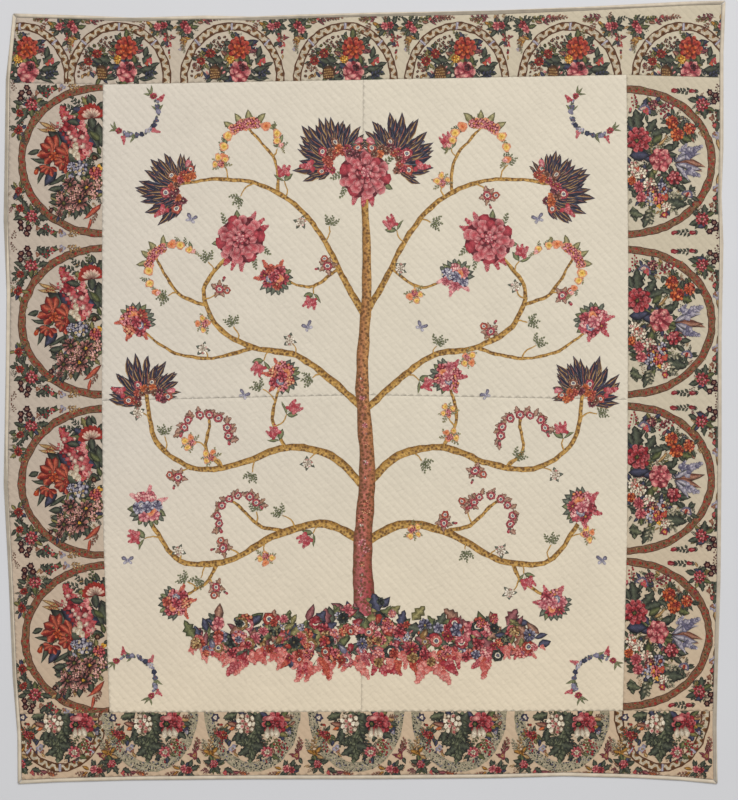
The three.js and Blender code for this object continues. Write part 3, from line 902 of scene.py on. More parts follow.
LEFT_BOUQUET = laid_out(
    ("leaf", "teal", (2, 50, 96, 80), (10, 44, 92, 52)), ("leaf", "navy", (22, 60, 84, 20)),
    ("leaf", "green", (5, 76, 60, 35)), ("long_leaf", "teal", (52, 36, 118, 74)),
    ("leaf", "teal", (4, 10, 62, 12)), ("leaf", "green", (12, 18, 46, -20)),
    ("sprig", "teal", (88, 186, 74, 18), (76, 204, 60, 40)), ("leaf", "teal", (24, 218, 40, 60)),
    ("long_leaf", "tan", (172, 120, 76, 14), (172, 112, 74, 0)), ("long_leaf", "brown", (165, 118, 50, 32)),
    ("leaf", "teal", (60, 6, 182, 30)), ("leaf", "navy", (56, 20, 150, 38)),
    ("leaf", "teal", (60, 0, 130, 12), (240, 40, 46, -28)),
    ("long_leaf", "teal", (190, -4, 82, 0), (196, -6, 100, -50)), ("leaf", "navy", (176, -28, 82, -62)),
    ("long_leaf", "teal", (136, -48, 82, -42)),
    ("leaf", "teal", (150, -104, 56, -8), (150, -130, 50, -14), (20, -60, 40, -40), (96, -170, 56, -84),
     (60, -160, 50, -100)), ("lobed_leaf", "teal", (140, -190, 44, -70)),
    ("long_leaf", "coral", (4, -162, 92, -50), (46, -216, 54, -88)),
    ("sprig", "brown", (20, -190, 50, -70)), ("raceme", "crimson", (110, 104, 112, 64)),
    ("raceme", "pink", (84, 60, 100, 96)),
    ("spike", "crimson", (56, 22, 206, 61), (66, 4, 170, 74), (72, 30, 150, 48)),
    ("floret", "crimson", (156, 196, 13, 0), (146, 178, 12, 20)), ("raceme", "white", (130, 66, 90, -128)),
    ("floret", "pink", (66, 30, 16, 0)), ("floret", "crimson", (74, 14, 15, 0)),
    ("berries", "coral", (176, 130, 40, -20)), ("carnation", "coral", (42, 170, 54, 84)),
    ("leaf", "teal", (84, 140, 54, 10)),
    ("lily", "coral", (210, 44, 47, 24), (158, 12, 46, -6), (152, -20, 34, -60), (208, -40, 28, -74)),
    ("rose", "orange", (184, 16, 20, 0)), ("bud", "orange", (248, -38, 20, -62)),
    ("leaf", "green", (6, 20, 40, 70)), ("ringed", "brown", (30, 8, 13, 0)),
    ("floret", "gold", (10, -28, 14, 0)), ("lobed_leaf", "teal", (46, -36, 50, -30)),
    ("speckled", "lilac", (84, -28, 32, 0), (116, -24, 20, 0)), ("lobed_leaf", "teal", (30, -70, 44, -80)),
    ("speckled", "crimson", (28, -48, 26, 0)), ("bud", "pink", (16, -66, 12, -40)),
    ("floret", "lilac", (120, -66, 13, 0)), ("sprig", "teal", (100, -60, 50, -60)),
    ("dahlia", "blossom", (123, -92, 31, 0), (63, -103, 36, 20)),
    ("speckled", "blossom", (18, -92, 22, 0), (92, -116, 18, 0), (160, -134, 17, 0)),
    ("dahlia", "blossom", (146, -162, 32, 0), (86, -158, 36, 0)),
    ("speckled", "blossom", (112, -132, 18, 0), (36, -130, 20, 0), (116, -184, 16, 0)),
    ("dahlia", "blossom", (164, -202, 16, 0)), ("ringed", "maroon", (195, -188, 11, 0)),
    ("ringed", "brown", (64, -128, 9, 0)), ("ringed", "olive", (63, -103, 11, 0)),
    ("floret", "gold", (60, -102, 6, 0)), ("ringed", "olive", (86, -158, 11, 0)),
    ("floret", "gold", (88, -157, 6, 0)),
    ("ringed", "olive", (122, -92, 10, 0), (146, -162, 10, 0)),
)
RIGHT_BOUQUET = laid_out(
    ("lobed_leaf", "teal", (42, 118, 84, 100), (74, 106, 70, 62), (84, 96, 64, 24), (20, 128, 50, 110)),
    ("leaf", "green", (92, 70, 56, 40)),
    ("leaf", "navy", (50, 20, 78, -10), (4, 22, 84, 6)),
    ("leaf", "teal", (130, 44, 66, 12), (74, -36, 60, -70)), ("leaf", "green", (90, -30, 60, -96)),
    ("lobed_leaf", "teal", (60, -98, 58, 190), (150, -50, 62, -50)),
    ("leaf", "teal", (196, -66, 46, -12), (188, -84, 44, -50)), ("sprig", "teal", (122, -154, 100, -4)),
    ("lobed_leaf", "teal", (136, -156, 88, -6)), ("lobed_leaf", "green", (104, -180, 62, -140)),
    ("lobed_leaf", "teal", (84, -190, 66, -112)), ("sprig", "teal", (80, -176, 60, -80)),
    ("leaf", "teal", (172, 168, 38, 92)), ("long_leaf", "tan", (112, 62, 58, 34)),
    ("lobed_leaf", "teal", (164, 112, 44, 160), (188, 84, 44, -110)),
    ("lobed_leaf", "green", (200, 90, 46, -10)), ("leaf", "teal", (206, 128, 36, 80)),
    ("berries", "crimson", (20, 196, 60, 84)), ("bud", "pink", (8, 196, 12, 90)),
    ("berries", "crimson", (106, 190, 74, 18)), ("sprig", "maroon", (112, 196, 66, 26)),
    ("speckled", "maroon", (96, 216, 20, 0)), ("carnation", "lilac", (64, 194, 27, 70)),
    ("floret", "crimson", (72, 190, 14, 0)), ("speckled", "orange", (168, 150, 26, 0)),
    ("rose", "coral", (176, 158, 14, 0)), ("speckled", "orange", (188, 104, 28, 0)),
    ("rose", "coral", (196, 112, 14, 0)), ("speckled", "coral", (235, 125, 25, 0)),
    ("rose", "orange", (228, 120, 13, 0)), ("peony", "crimson", (40, 84, 50, 0)),
    ("ringed", "olive", (34, 80, 11, 0)),
    ("long_leaf", "brown", (178, 0, 118, 0), (178, -4, 108, -8)),
    ("long_leaf", "lilac", (176, 0, 80, 34), (176, 0, 106, 26), (176, -6, 88, -42), (180, -4, 104, -22)),
    ("raceme", "lilac", (196, 20, 100, 24), (196, 26, 52, 60), (200, -20, 84, -24)),
    ("rose", "pink", (124, 8, 48, 0), (120, 14, 26, 60)), ("rose", "crimson", (176, -62, 29, 0)),
    ("rose", "pink", (170, -56, 15, 30)), ("leaf", "navy", (62, -8, 40, -100)),
    ("speckled", "white", (26, -22, 26, 0), (50, -44, 24, 0), (20, -62, 20, 0)),
    ("floret", "coral", (38, -26, 9, 0), (22, -72, 9, 0)),
    ("sprig", "lace", (130, -150, 74, -40), (90, -170, 70, -100), (140, -120, 70, -10)),
    ("lobed_leaf", "pine", (20, -170, 60, -80), (4, -196, 56, -10)),
    ("speckled", "orange", (14, -72, 19, 0)), ("speckled", "white", (84, -84, 26, 0)),
    ("speckled", "lilac", (126, -104, 27, 0)), ("speckled", "maroon", (96, -110, 25, 0)),
    ("speckled", "lilac", (84, -142, 27, 0)), ("speckled", "crimson", (118, -142, 24, 0)),
    ("speckled", "white", (146, -172, 20, 0)),
    ("floret", "gold", (98, -116, 6, 0), (108, -140, 6, 0)), ("ringed", "crimson", (78, -126, 8, 0)),
    ("dahlia", "pink", (42, -94, 24, 0)), ("rose", "pink", (51, -134, 23, 0)),
    ("ringed", "coral", (136, -104, 10, 0)), ("floret", "coral", (142, -134, 14, 0)),
    ("floret", "gold", (120, -168, 10, 0)), ("carnation", "lilac", (224, -128, 24, 70)),
    ("bud", "coral", (224, -128, 13, 70)), ("ringed", "pink", (141, -202, 15, 0)),
    ("floret", "gold", (141, -202, 6, 0)),
)
# Sprays that fill the corners outside an oval, above its middle; they are mirrored below
LEFT_SPANDREL = laid_out(
    ("leaf", "teal", (296, 212, 42, 180), (300, 214, 40, 10)), ("lobed_leaf", "teal", (246, 214, 44, 168)),
    ("leaf", "green", (270, 206, 46, -92)), ("lobed_leaf", "teal", (286, 196, 50, -66)),
    ("sprig", "teal", (262, 266, 76, 172)), ("leaf", "teal", (220, 256, 40, 40)),
    ("lobed_leaf", "teal", (208, 236, 48, 76)), ("leaf", "teal", (186, 262, 34, 110)),
    ("leaf", "green", (200, 280, 36, 190)), ("berries", "crimson", (232, 244, 56, 150)),
    ("floret", "brown", (247, 255, 10, 0)), ("floret", "crimson", (192, 274, 8, 0)),
    ("floret", "lilac", (152, 277, 15, 0)), ("floret", "brown", (160, 270, 9, 0)),
    ("sprig", "tan", (140, 279, 52, 178)), ("berries", "brown", (330, 262, 40, 70)),
    ("ringed", "maroon", (287, 276, 15, 0), (308, 258, 15, 0), (279, 256, 15, 0), (310, 236, 14, 0)),
    ("dahlia", "crimson", (270, 213, 26, 0)), ("rose", "pink", (270, 213, 14, 0)),
    ("ringed", "olive", (270, 213, 6, 0)), ("sprig", "teal", (312, 168, 60, -84)),
    ("leaf", "teal", (306, 160, 30, -60)), ("leaf", "maroon", (322, 140, 28, -110)),
    ("dahlia", "coral", (313, 180, 17, 0)), ("ringed", "brown", (314, 180, 6, 0)),
    ("dahlia", "coral", (319, 114, 18, 0)), ("ringed", "brown", (320, 115, 6, 0)),
    ("leaf", "olive", (312, 98, 24, -100)),
)
RIGHT_SPANDREL = laid_out(
    ("leaf", "teal", (270, 226, 44, 158)), ("lobed_leaf", "teal", (288, 206, 46, -82)),
    ("leaf", "green", (296, 208, 40, -30)), ("leaf", "teal", (330, 200, 40, -50)),
    ("lobed_leaf", "teal", (346, 200, 46, -96), (336, 160, 48, -84)), ("leaf", "navy", (300, 236, 40, 160)),
    ("sprig", "teal", (248, 268, 62, 178)), ("berries", "brown", (316, 200, 60, -70)),
    ("floret", "brown", (320, 164, 11, 0)), ("floret", "crimson", (330, 138, 9, 0)),
    ("long_leaf", "tan", (340, 96, 66, -86)), ("floret", "lilac", (337, 98, 17, 0)),
    ("floret", "brown", (330, 106, 9, 0)), ("berries", "maroon", (344, 250, 44, 96)),
    ("ringed", "maroon", (312, 264, 15, 0), (334, 254, 15, 0), (326, 230, 15, 0), (350, 238, 14, 0)),
    ("dahlia", "crimson", (283, 218, 27, 0)), ("rose", "pink", (283, 218, 14, 0)),
    ("ringed", "olive", (283, 218, 6, 0)),
    ("bud", "crimson", (181, 270, 19, 176), (250, 268, 18, 170)),
)
TOP_BOUQUET = laid_out(
    ("lobed_leaf", "teal", (-30, 74, 62, 172), (-16, 56, 60, 196)), ("leaf", "teal", (-20, 30, 50, 220)),
    ("lobed_leaf", "teal", (92, 40, 60, -16), (84, 30, 62, 16), (90, 60, 52, 50)),
    ("leaf", "teal", (76, 40, 60, 2), (98, 82, 48, 78)), ("leaf", "green", (64, 60, 42, 110)),
    ("leaf", "teal", (62, 128, 32, 50)),
    ("leaf", "maroon", (66, 100, 36, 30), (68, 116, 30, -20)), ("leaf", "teal", (-6, 160, 26, 60)),
    ("leaf", "green", (12, 156, 26, 140)), ("leaf", "maroon", (-14, 100, 30, 166)),
    ("leaf", "brown", (-20, 92, 30, 140)), ("leaf", "teal", (16, 94, 34, 160)),
    ("long_leaf", "teal", (74, 6, 70, 8), (74, 4, 60, -8)), ("sprig", "navy", (84, 8, 60, 22)),
    ("leaf", "teal", (-10, 6, 36, 180)), ("leaf", "navy", (-96, 8, 30, 120)),
    ("leaf", "tan", (-120, 10, 24, 70), (-142, 4, 22, 60)), ("floret", "crimson", (120, 74, 13, 0)),
    ("floret", "coral", (106, 62, 9, 0)), ("bud", "crimson", (86, 132, 8, 0)),
    ("cone", "tan", (-64, 28, 29, 92)),
    ("petal", "pink", (-44, 40, 14, 60), (-40, 22, 16, 40), (-88, 22, 16, 130)),
    ("bud", "navy", (-83, 55, 9, 120)),
    ("dahlia", "coral", (-83, 100, 21, 0), (-117, 71, 20, 0)), ("speckled", "gold", (-4, 79, 18, 0)),
    ("peony", "coral", (28, 122, 45, 0)), ("rose", "orange", (26, 114, 26, 30)),
    ("rose", "pink", (30, 30, 45, 0)), ("rose", "maroon", (40, 48, 16, 0)),
    ("petal", "pink", (4, 16, 40, 0)), ("ringed", "olive", (-74, 134, 6, 0)),
    ("ringed", "brown", (-80, 140, 5, 0)), ("ringed", "maroon", (-20, 152, 6, 0)),
    ("ringed", "brown", (-46, 132, 6, 0)), ("ringed", "tan", (-68, 118, 6, 0)),
    ("ringed", "brown", (-28, 130, 6, 0), (-132, 90, 6, 0)), ("ringed", "maroon", (-124, 108, 6, 0)),
    ("ringed", "tan", (-146, 46, 6, 0)),
    ("ringed", "brown", (-130, 36, 6, 0), (-152, 14, 6, 0)), ("berries", "brown", (-104, 84, 40, 160)),
    ("berries", "maroon", (-46, 118, 44, 120)), ("sprig", "brown", (-116, 30, 44, 140)),
    ("leaf", "teal", (-60, 62, 46, 150), (118, 52, 40, 20)),
    ("ringed", "brown", (-141, 61, 6, 0), (-117, 46, 6, 0), (-151, 32, 6, 0)),
    ("ringed", "olive", (-107, 103, 9, 0), (-93, 130, 8, 0)),
    ("ringed", "brown", (-70, 148, 7, 0), (-49, 160, 8, 0), (-30, 164, 6, 0), (-33, 143, 7, 0),
     (-52, 142, 6, 0), (-60, 128, 6, 0)), ("ringed", "maroon", (-40, 124, 7, 0)),
    ("ringed", "olive", (-59, 110, 8, 0)), ("ringed", "tan", (-128, 18, 8, 0)),
)
# What stands right of an arch and left of the next one
TOP_RIGHT = laid_out(
    ("sprig", "maroon", (128, 236, 70, 176)), ("sprig", "brown", (108, 214, 50, -148)),
    ("sprig", "teal", (168, 226, 50, 14)), ("sprig", "ochre", (134, 212, 46, -96)),
    ("leaf", "maroon", (112, 232, 26, 160)), ("leaf", "brown", (94, 234, 22, 200)),
    ("sprig", "olive", (104, 224, 54, 172)), ("sprig", "brown", (90, 232, 40, 190)),
    ("leaf", "ochre", (104, 222, 34, -40)), ("leaf", "olive", (120, 214, 26, -80)),
    ("leaf", "teal", (150, 196, 34, 188), (148, 192, 36, 230), (166, 192, 38, -66)),
    ("lobed_leaf", "teal", (176, 204, 36, -16)), ("leaf", "teal", (182, 210, 34, 62)),
    ("leaf", "green", (156, 212, 30, 100)), ("sprig", "brown", (150, 222, 34, 80)),
    ("rose", "pink", (148, 204, 17, 0)), ("rose", "crimson", (170, 208, 15, 0)),
    ("berries", "crimson", (184, 186, 60, -86)), ("sprig", "brown", (186, 182, 56, -96)),
    ("leaf", "teal", (180, 148, 30, 220)), ("leaf", "maroon", (192, 158, 26, 20)),
    ("floret", "crimson", (176, 154, 8, 0)), ("floret", "navy", (184, 137, 9, 0)),
    ("floret", "crimson", (197, 132, 7, 0)), ("bud", "crimson", (192, 108, 10, -90)),
    ("leaf", "tan", (194, 96, 20, -90)),
)
TOP_LEFT = laid_out(
    ("sprig", "teal", (-190, 236, 60, -6), (-140, 236, 60, -12)), ("sprig", "brown", (-60, 242, 50, -6)),
    ("leaf", "teal", (-126, 234, 28, 20)), ("leaf", "maroon", (-100, 222, 24, -30)),
    ("leaf", "brown", (-92, 236, 24, 30)), ("sprig", "brown", (-186, 164, 50, -96)),
    ("leaf", "maroon", (-184, 172, 30, -60)), ("leaf", "ochre", (-182, 162, 30, -10)),
    ("sprig", "olive", (-156, 226, 56, 8)), ("sprig", "maroon", (-110, 230, 60, 4)),
    ("sprig", "brown", (-84, 238, 52, -4)), ("leaf", "brown", (-132, 220, 28, -10)),
    ("leaf", "teal", (-186, 214, 34, 130), (-172, 212, 36, 30)),
    ("lobed_leaf", "teal", (-166, 188, 40, -60)), ("leaf", "teal", (-180, 186, 32, -120)),
    ("leaf", "green", (-160, 200, 36, 6)), ("leaf", "teal", (-186, 196, 30, 196)),
    ("floret", "crimson", (-104, 230, 7, 0), (-78, 240, 6, 0)), ("rose", "crimson", (-182, 210, 17, 0)),
    ("rose", "pink", (-168, 192, 17, 0)),
    ("leaf", "ochre", (-164, 156, 36, 192), (-170, 160, 32, 236)), ("leaf", "tan", (-168, 150, 30, 150)),
    ("sprig", "tan", (-180, 156, 40, -110)), ("sprig", "lace", (-190, 140, 40, -80)),
    ("floret", "lilac", (-198, 116, 7, 0)),
)
BOTTOM_BOUQUET = laid_out(
    ("lobed_leaf", "pine", (12, -8, 130, 88)),
    ("lobed_leaf", "teal", (-14, -6, 120, 74), (30, -4, 110, 104)),
    ("lobed_leaf", "pine", (8, 66, 110, 98), (-2, 80, 108, 94), (-6, 104, 60, 168)),
    ("sprig", "pine", (4, 60, 124, 96)),
    ("sprig", "teal", (-10, 84, 70, 140), (14, 84, 66, 50)), ("sprig", "pine", (4, 10, 96, 80)),
    ("lobed_leaf", "teal", (-4, 118, 56, 20), (-10, 136, 52, 150), (-54, -2, 60, 150)),
    ("lobed_leaf", "pine", (-60, 6, 54, 170)), ("leaf", "maroon", (-56, 40, 42, 168)),
    ("leaf", "brown", (-56, 50, 46, 190)), ("leaf", "orange", (-66, 56, 26, 150)),
    ("leaf", "teal", (-44, 74, 50, 132)), ("lobed_leaf", "teal", (-50, 66, 48, 104)),
    ("leaf", "tan", (118, 20, 34, 10)), ("leaf", "ochre", (112, 40, 34, 30)),
    ("sprig", "brown", (120, 18, 40, -10)), ("sprig", "teal", (134, 46, 52, 70)),
    ("sprig", "olive", (78, 92, 60, 60)),
    ("berries", "crimson", (86, 96, 70, 66), (96, 106, 50, 40)), ("speckled", "white", (-24, 42, 39, 0)),
    ("peony", "crimson", (84, 42, 48, 0)),
    ("petal", "white", (60, 52, 46, 96), (84, 50, 44, 70), (74, 56, 36, 84)),
    ("ringed", "green", (61, 44, 15, 0)), ("petal", "pink", (40, 24, 44, -8)),
    ("floret", "navy", (139, 66, 15, 0)), ("floret", "lilac", (140, 74, 8, 0)),
    ("dahlia", "pink", (56, 149, 25, 0)), ("rose", "white", (56, 149, 12, 0)),
    ("leaf", "brown", (74, 136, 26, 70)), ("bud", "navy", (33, 177, 10, 90)),
    ("bud", "crimson", (55, 184, 8, 90)), ("ringed", "lilac", (-141, 19, 17, 0)),
    ("floret", "white", (-141, 19, 8, 0)), ("bud", "coral", (-124, 44, 11, 0)),
    ("berries", "orange", (-140, 50, 40, 80)), ("dahlia", "coral", (-112, 86, 20, 0)),
    ("rose", "crimson", (-126, 80, 13, 0)), ("ringed", "brown", (-104, 84, 7, 0)),
    ("leaf", "teal", (-92, 96, 30, 80)), ("leaf", "navy", (-82, 102, 26, 110)),
    ("berries", "crimson", (-124, 100, 50, 76)), ("floret", "lilac", (-74, 136, 17, 0)),
    ("floret", "brown", (-66, 148, 9, 0)), ("floret", "navy", (-90, 148, 7, 0)),
    ("leaf", "tan", (-68, 150, 26, 60)),
)
BOTTOM_RIGHT = laid_out(
    ("sprig", "maroon", (168, 160, 62, -72)), ("sprig", "brown", (178, 150, 56, -88)),
    ("leaf", "teal", (176, 170, 30, 60)),
    ("leaf", "maroon", (168, 160, 30, 190), (172, 150, 28, -60)), ("floret", "maroon", (167, 162, 18, 0)),
    ("floret", "tan", (167, 162, 8, 0)),
    ("leaf", "teal", (130, 208, 34, -110), (150, 208, 34, -70)),
    ("lobed_leaf", "teal", (154, 214, 36, -20)),
    ("leaf", "teal", (150, 222, 32, 50), (124, 222, 30, 130)),
    ("leaf", "ochre", (112, 216, 30, 200), (108, 224, 28, 150)), ("sprig", "brown", (110, 230, 50, 176)),
    ("rose", "pink", (128, 213, 16, 0)), ("rose", "crimson", (149, 219, 14, 0)),
)
BOTTOM_LEFT = laid_out(
    ("sprig", "tan", (-164, 150, 60, -84)), ("sprig", "lace", (-172, 146, 50, -110)),
    ("leaf", "ochre", (-156, 152, 34, -40), (-156, 156, 34, 200)), ("leaf", "tan", (-150, 160, 32, 20)),
    ("speckled", "ochre", (-156, 154, 12, 0)),
    ("leaf", "teal", (-152, 190, 36, 196), (-146, 206, 32, 120)),
    ("lobed_leaf", "teal", (-140, 200, 38, 60)), ("leaf", "teal", (-136, 192, 34, -20)),
    ("leaf", "green", (-150, 184, 28, -110)), ("sprig", "maroon", (-120, 224, 60, 6)),
    ("lobed_leaf", "teal", (-106, 212, 36, 20)), ("leaf", "maroon", (-78, 222, 34, 10)),
    ("leaf", "orange", (-50, 230, 34, 6)), ("sprig", "brown", (-60, 228, 50, 4)),
    ("floret", "crimson", (-104, 228, 8, 0)), ("rose", "crimson", (-146, 195, 18, 0)),
    ("rose", "pink", (-148, 190, 11, 0)),
)
# Kinds of flower that have leaves round them, and the leaves' inks
LEAFY = {"rose", "peony", "dahlia", "speckled", "carnation", "cone"}
LEAF_INKS = ("teal", "teal", "teal", "navy", "green", "olive")


def leaves_round(press, flowers, seed):
    """Leaves and sprigs that stand out from behind each larger flower."""
    draw = random.Random(seed)
    for kind, _, x, y, size, _ in flowers:
        if kind not in LEAFY or size < 9:
            continue
        for _ in range(3):
            dx, dy = turned(size * 1.1 + 6, 0, draw.uniform(0, 360))
            small = draw.choice(("sprig", "berries", "sprig", "leaf"))
            inks = draw.choice(("brown", "maroon", "tan", "teal"))
            press.stamp(small, inks, x + dx, y + dy, draw.uniform(22, 34), draw.uniform(0, 360))
        count = 4 + int(size / 6)
        for i in range(count):
            angle = 360 * (i + draw.random()) / count
            dx, dy = turned(size * 0.6, 0, angle)
            small = draw.choice(("leaf", "lobed_leaf", "leaf", "sprig"))
            length = (17 + size * 0.72) * draw.uniform(0.75, 1.1)
            press.stamp(small, draw.choice(LEAF_INKS), x + dx, y + dy, length, angle + draw.uniform(-35, 35))


def ellipse_line(reach_x, reach_y, from_deg, to_deg, steps):
    turns = [math.radians(from_deg + (to_deg - from_deg) * i / steps) for i in range(steps + 1)]
    return [(reach_x * math.cos(turn), reach_y * math.sin(turn)) for turn in turns]


def heading(line, i):
    """The turn of a line at one of its points."""
    (ax, ay), (bx, by) = line[max(i - 1, 0)], line[min(i + 1, len(line) - 1)]
    return math.degrees(math.atan2(by - ay, bx - ax))


def banded(edge, body, share):
    """Across a printed band: a dark line at both sides."""
    return [(-1, edge), (-share, edge), (0.04 - share, body), (share - 0.04, body), (share, edge), (1, edge)]


def oval_frame(press, reach_x, reach_y, band, seed):
    """Half an oval round a bouquet: an olive-brown band mottled with leaves and red spots."""
    draw = random.Random(seed)
    reach_x, reach_y = reach_x - band / 2, reach_y - band / 2
    line = ellipse_line(reach_x, reach_y, -94, 94, 62)
    press.strip(line, (band / 2, band / 2), banded(linear("#644232"), linear("#937258"), 0.84))
    dots = ellipse_line(reach_x, reach_y, -90, 90, 120)
    for i, (x, y) in enumerate(dots):
        turn = heading(dots, i)
        dx, dy = turned(0, draw.uniform(-0.3, 0.3) * band, turn)
        if i % 3 == 2:
            press.stamp("berry", "coral", x + dx, y + dy, band * draw.uniform(0.14, 0.22))
            inks = draw.choice(("coral", "olive"))
            press.stamp("berry", inks, x - dx + 3, y - dy, band * draw.uniform(0.1, 0.18))
        elif i % 3:
            inks = draw.choice(("coral", "coral", "pine"))
            press.stamp("berry", inks, x - dx, y - dy, band * draw.uniform(0.08, 0.14))
            inks = draw.choice(("olive", "brown", "tan"))
            press.stamp("leaf", inks, x + dx, y + dy, band * 0.42, turn + draw.uniform(-60, 60))
        else:
            press.stamp("berry", draw.choice(("coral", "tan", "olive", "brown")), x + dx, y + dy, band * 0.1)


# Half the width of a tie, and how many dots a lace arch has
TIE_HALF = 4.6
LACE_DOTS = 430


def arch_band(press, reach_x, reach_y, band, rows):
    line = ellipse_line(reach_x - band / 2, reach_y - band / 2, -5, 185, 46)
    press.strip(line, (band / 2, band / 2), rows)


def scalloped_frame(press, reach_x, reach_y, band, seed):
    """A round cream arch with brown edges, scallops that alternate between them and three ties."""
    draw = random.Random(seed)
    arch_band(press, reach_x, reach_y, band, banded(linear("#75502f"), linear("#c8bca8"), 0.7))
    for share, way in ((0.15, 1), (0.85, -1)):
        places = ellipse_line(reach_x - band * share, reach_y - band * share, 3 + 3 * way, 177 + 3 * way, 15)
        for i, (x, y) in enumerate(places):
            size = band * draw.uniform(0.54, 0.68)
            press.stamp("scallop", "tan", x, y, size, heading(places, i) + (0 if way > 0 else 180))
    lilac = INKS["lilac"]
    for angle in (44, 90, 136):
        cos, sin = math.cos(math.radians(angle)), math.sin(math.radians(angle))
        across = [((reach_x - band * s) * cos, (reach_y - band * s) * sin) for s in (0.08, 0.5, 0.92)]
        press.strip(across, (TIE_HALF, TIE_HALF), [(-1, lilac[DEEP]), (0, lilac[LIGHT]), (1, lilac[MIDDLE])])


def lace_frame(press, reach_x, reach_y, band, seed):
    """A round arch of close dots in grey-green, cream and lilac, like narrow lace."""
    draw = random.Random(seed)
    edge, body = linear("#aaa28c"), linear("#b4ab95")
    arch_band(press, reach_x, reach_y, band, [(-1, edge), (0, body), (1, edge)])
    for _ in range(LACE_DOTS):
        share, angle = draw.uniform(0.02, 0.98), math.radians(draw.uniform(0, 180))
        x = (reach_x - band * share) * math.cos(angle)
        y = (reach_y - band * share) * math.sin(angle)
        inks = draw.choice(("teal", "teal", "navy", "pine", "white", "white", "lilac"))
        press.stamp("berry", inks, x, y, draw.uniform(1.6, 3.6))


# The ovals' middles and the reach of their frames; then the arches' middles along their seams, and for each
# frame its reach along the seam, its height and the width of its band
OVALS = {
    "left": {
        "middles": ((-997, 881), (-997, 269), (-997, -341), (-983, -936)),
        "reach": (321, 292),
        "bouquet": LEFT_BOUQUET,
        "corner": LEFT_SPANDREL,
    },
    "right": {
        "middles": ((1000, 876), (1000, 267), (998, -328), (989, -919)),
        "reach": (334, 289),
        "bouquet": RIGHT_BOUQUET,
        "corner": RIGHT_SPANDREL,
    },
}
OVAL_BAND = 29
BORDER_DEPTH = 1.4
TOP_ARCHES = (-1310, -934, -504, -73, 351, 780, 1210)
BOTTOM_ARCHES = (-1158, -816, -427, -33, 358, 750, 1130)
TOP_SEAM_Y = 1187
BOTTOM_SEAM_Y = -1218
TOP_FRAME = (199, 220, 32)
BOTTOM_CORNER_FRAME = (182, 225, 34)
BOTTOM_FRAME = (182, 225, 38)
PRINT_LEVEL = 0.1 * MM

# Seeds of the frames and of the leaves round the flowers
OVAL_SEED, BOUQUET_SEED, CORNER_SEED = 71, 11, 41
TOP_SEED, TOP_LEAF_SEED = 81, 31
BOTTOM_CORNER_SEED, LACE_SEED, BOTTOM_LEAF_SEED = 91, 61, 51


def print_sides(context):
    cloth = context.scene.quilt_cloth
    ink = chintz("chintz_border_print", cloth.pitch, depth=BORDER_DEPTH)
    for side, way in (("left", -1), ("right", 1)):
        press = Print()
        oval = OVALS[side]
        for number, middle in enumerate(oval["middles"]):
            press.move_to(*middle, flip_x=way)
            oval_frame(press, *oval["reach"], OVAL_BAND, OVAL_SEED + number)
            leaves_round(press, oval["bouquet"], BOUQUET_SEED + number % 2)
            press.lay(oval["bouquet"])
            for flip_y in (1, -1):
                press.move_to(*middle, flip_x=way, flip_y=flip_y)
                leaves_round(press, oval["corner"], CORNER_SEED + number + flip_y)
                press.lay(oval["corner"])
        level = cloth.puff_height + PRINT_LEVEL
        outline = outline_of(f"border_{side}")
        press.finish(f"print_{side}", ink, cloth, level, outline=outline)


def print_ends(context):
    cloth = context.scene.quilt_cloth
    ink = chintz("chintz_arch_print", cloth.pitch, depth=BORDER_DEPTH)
    level = cloth.puff_height + PRINT_LEVEL
    press = Print()
    for number, middle in enumerate(TOP_ARCHES):
        press.move_to(middle, TOP_SEAM_Y)
        scalloped_frame(press, *TOP_FRAME, TOP_SEED + number)
        # The first arch is cut off by the corner, so nothing stands left of it
        left = TOP_LEFT if number else []
        leaves_round(press, TOP_BOUQUET + TOP_RIGHT + left, TOP_LEAF_SEED + number % 2)
        press.lay(TOP_BOUQUET + left + TOP_RIGHT)
    press.finish("print_top", ink, cloth, level, outline=outline_of("border_top"))
    press = Print()
    for number, middle in enumerate(BOTTOM_ARCHES):
        press.move_to(middle, BOTTOM_SEAM_Y, flip_y=-1)
        if number in (0, len(BOTTOM_ARCHES) - 1):
            scalloped_frame(press, *BOTTOM_CORNER_FRAME, BOTTOM_CORNER_SEED + number)
        else:
            lace_frame(press, *BOTTOM_FRAME, LACE_SEED + number)
        shapes = BOTTOM_BOUQUET + BOTTOM_LEFT + BOTTOM_RIGHT
        leaves_round(press, shapes, BOTTOM_LEAF_SEED + number % 2)
        press.lay(shapes)
    press.finish("print_bottom", ink, cloth, level, outline=outline_of("border_bottom"))


# The applied tree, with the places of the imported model's solids

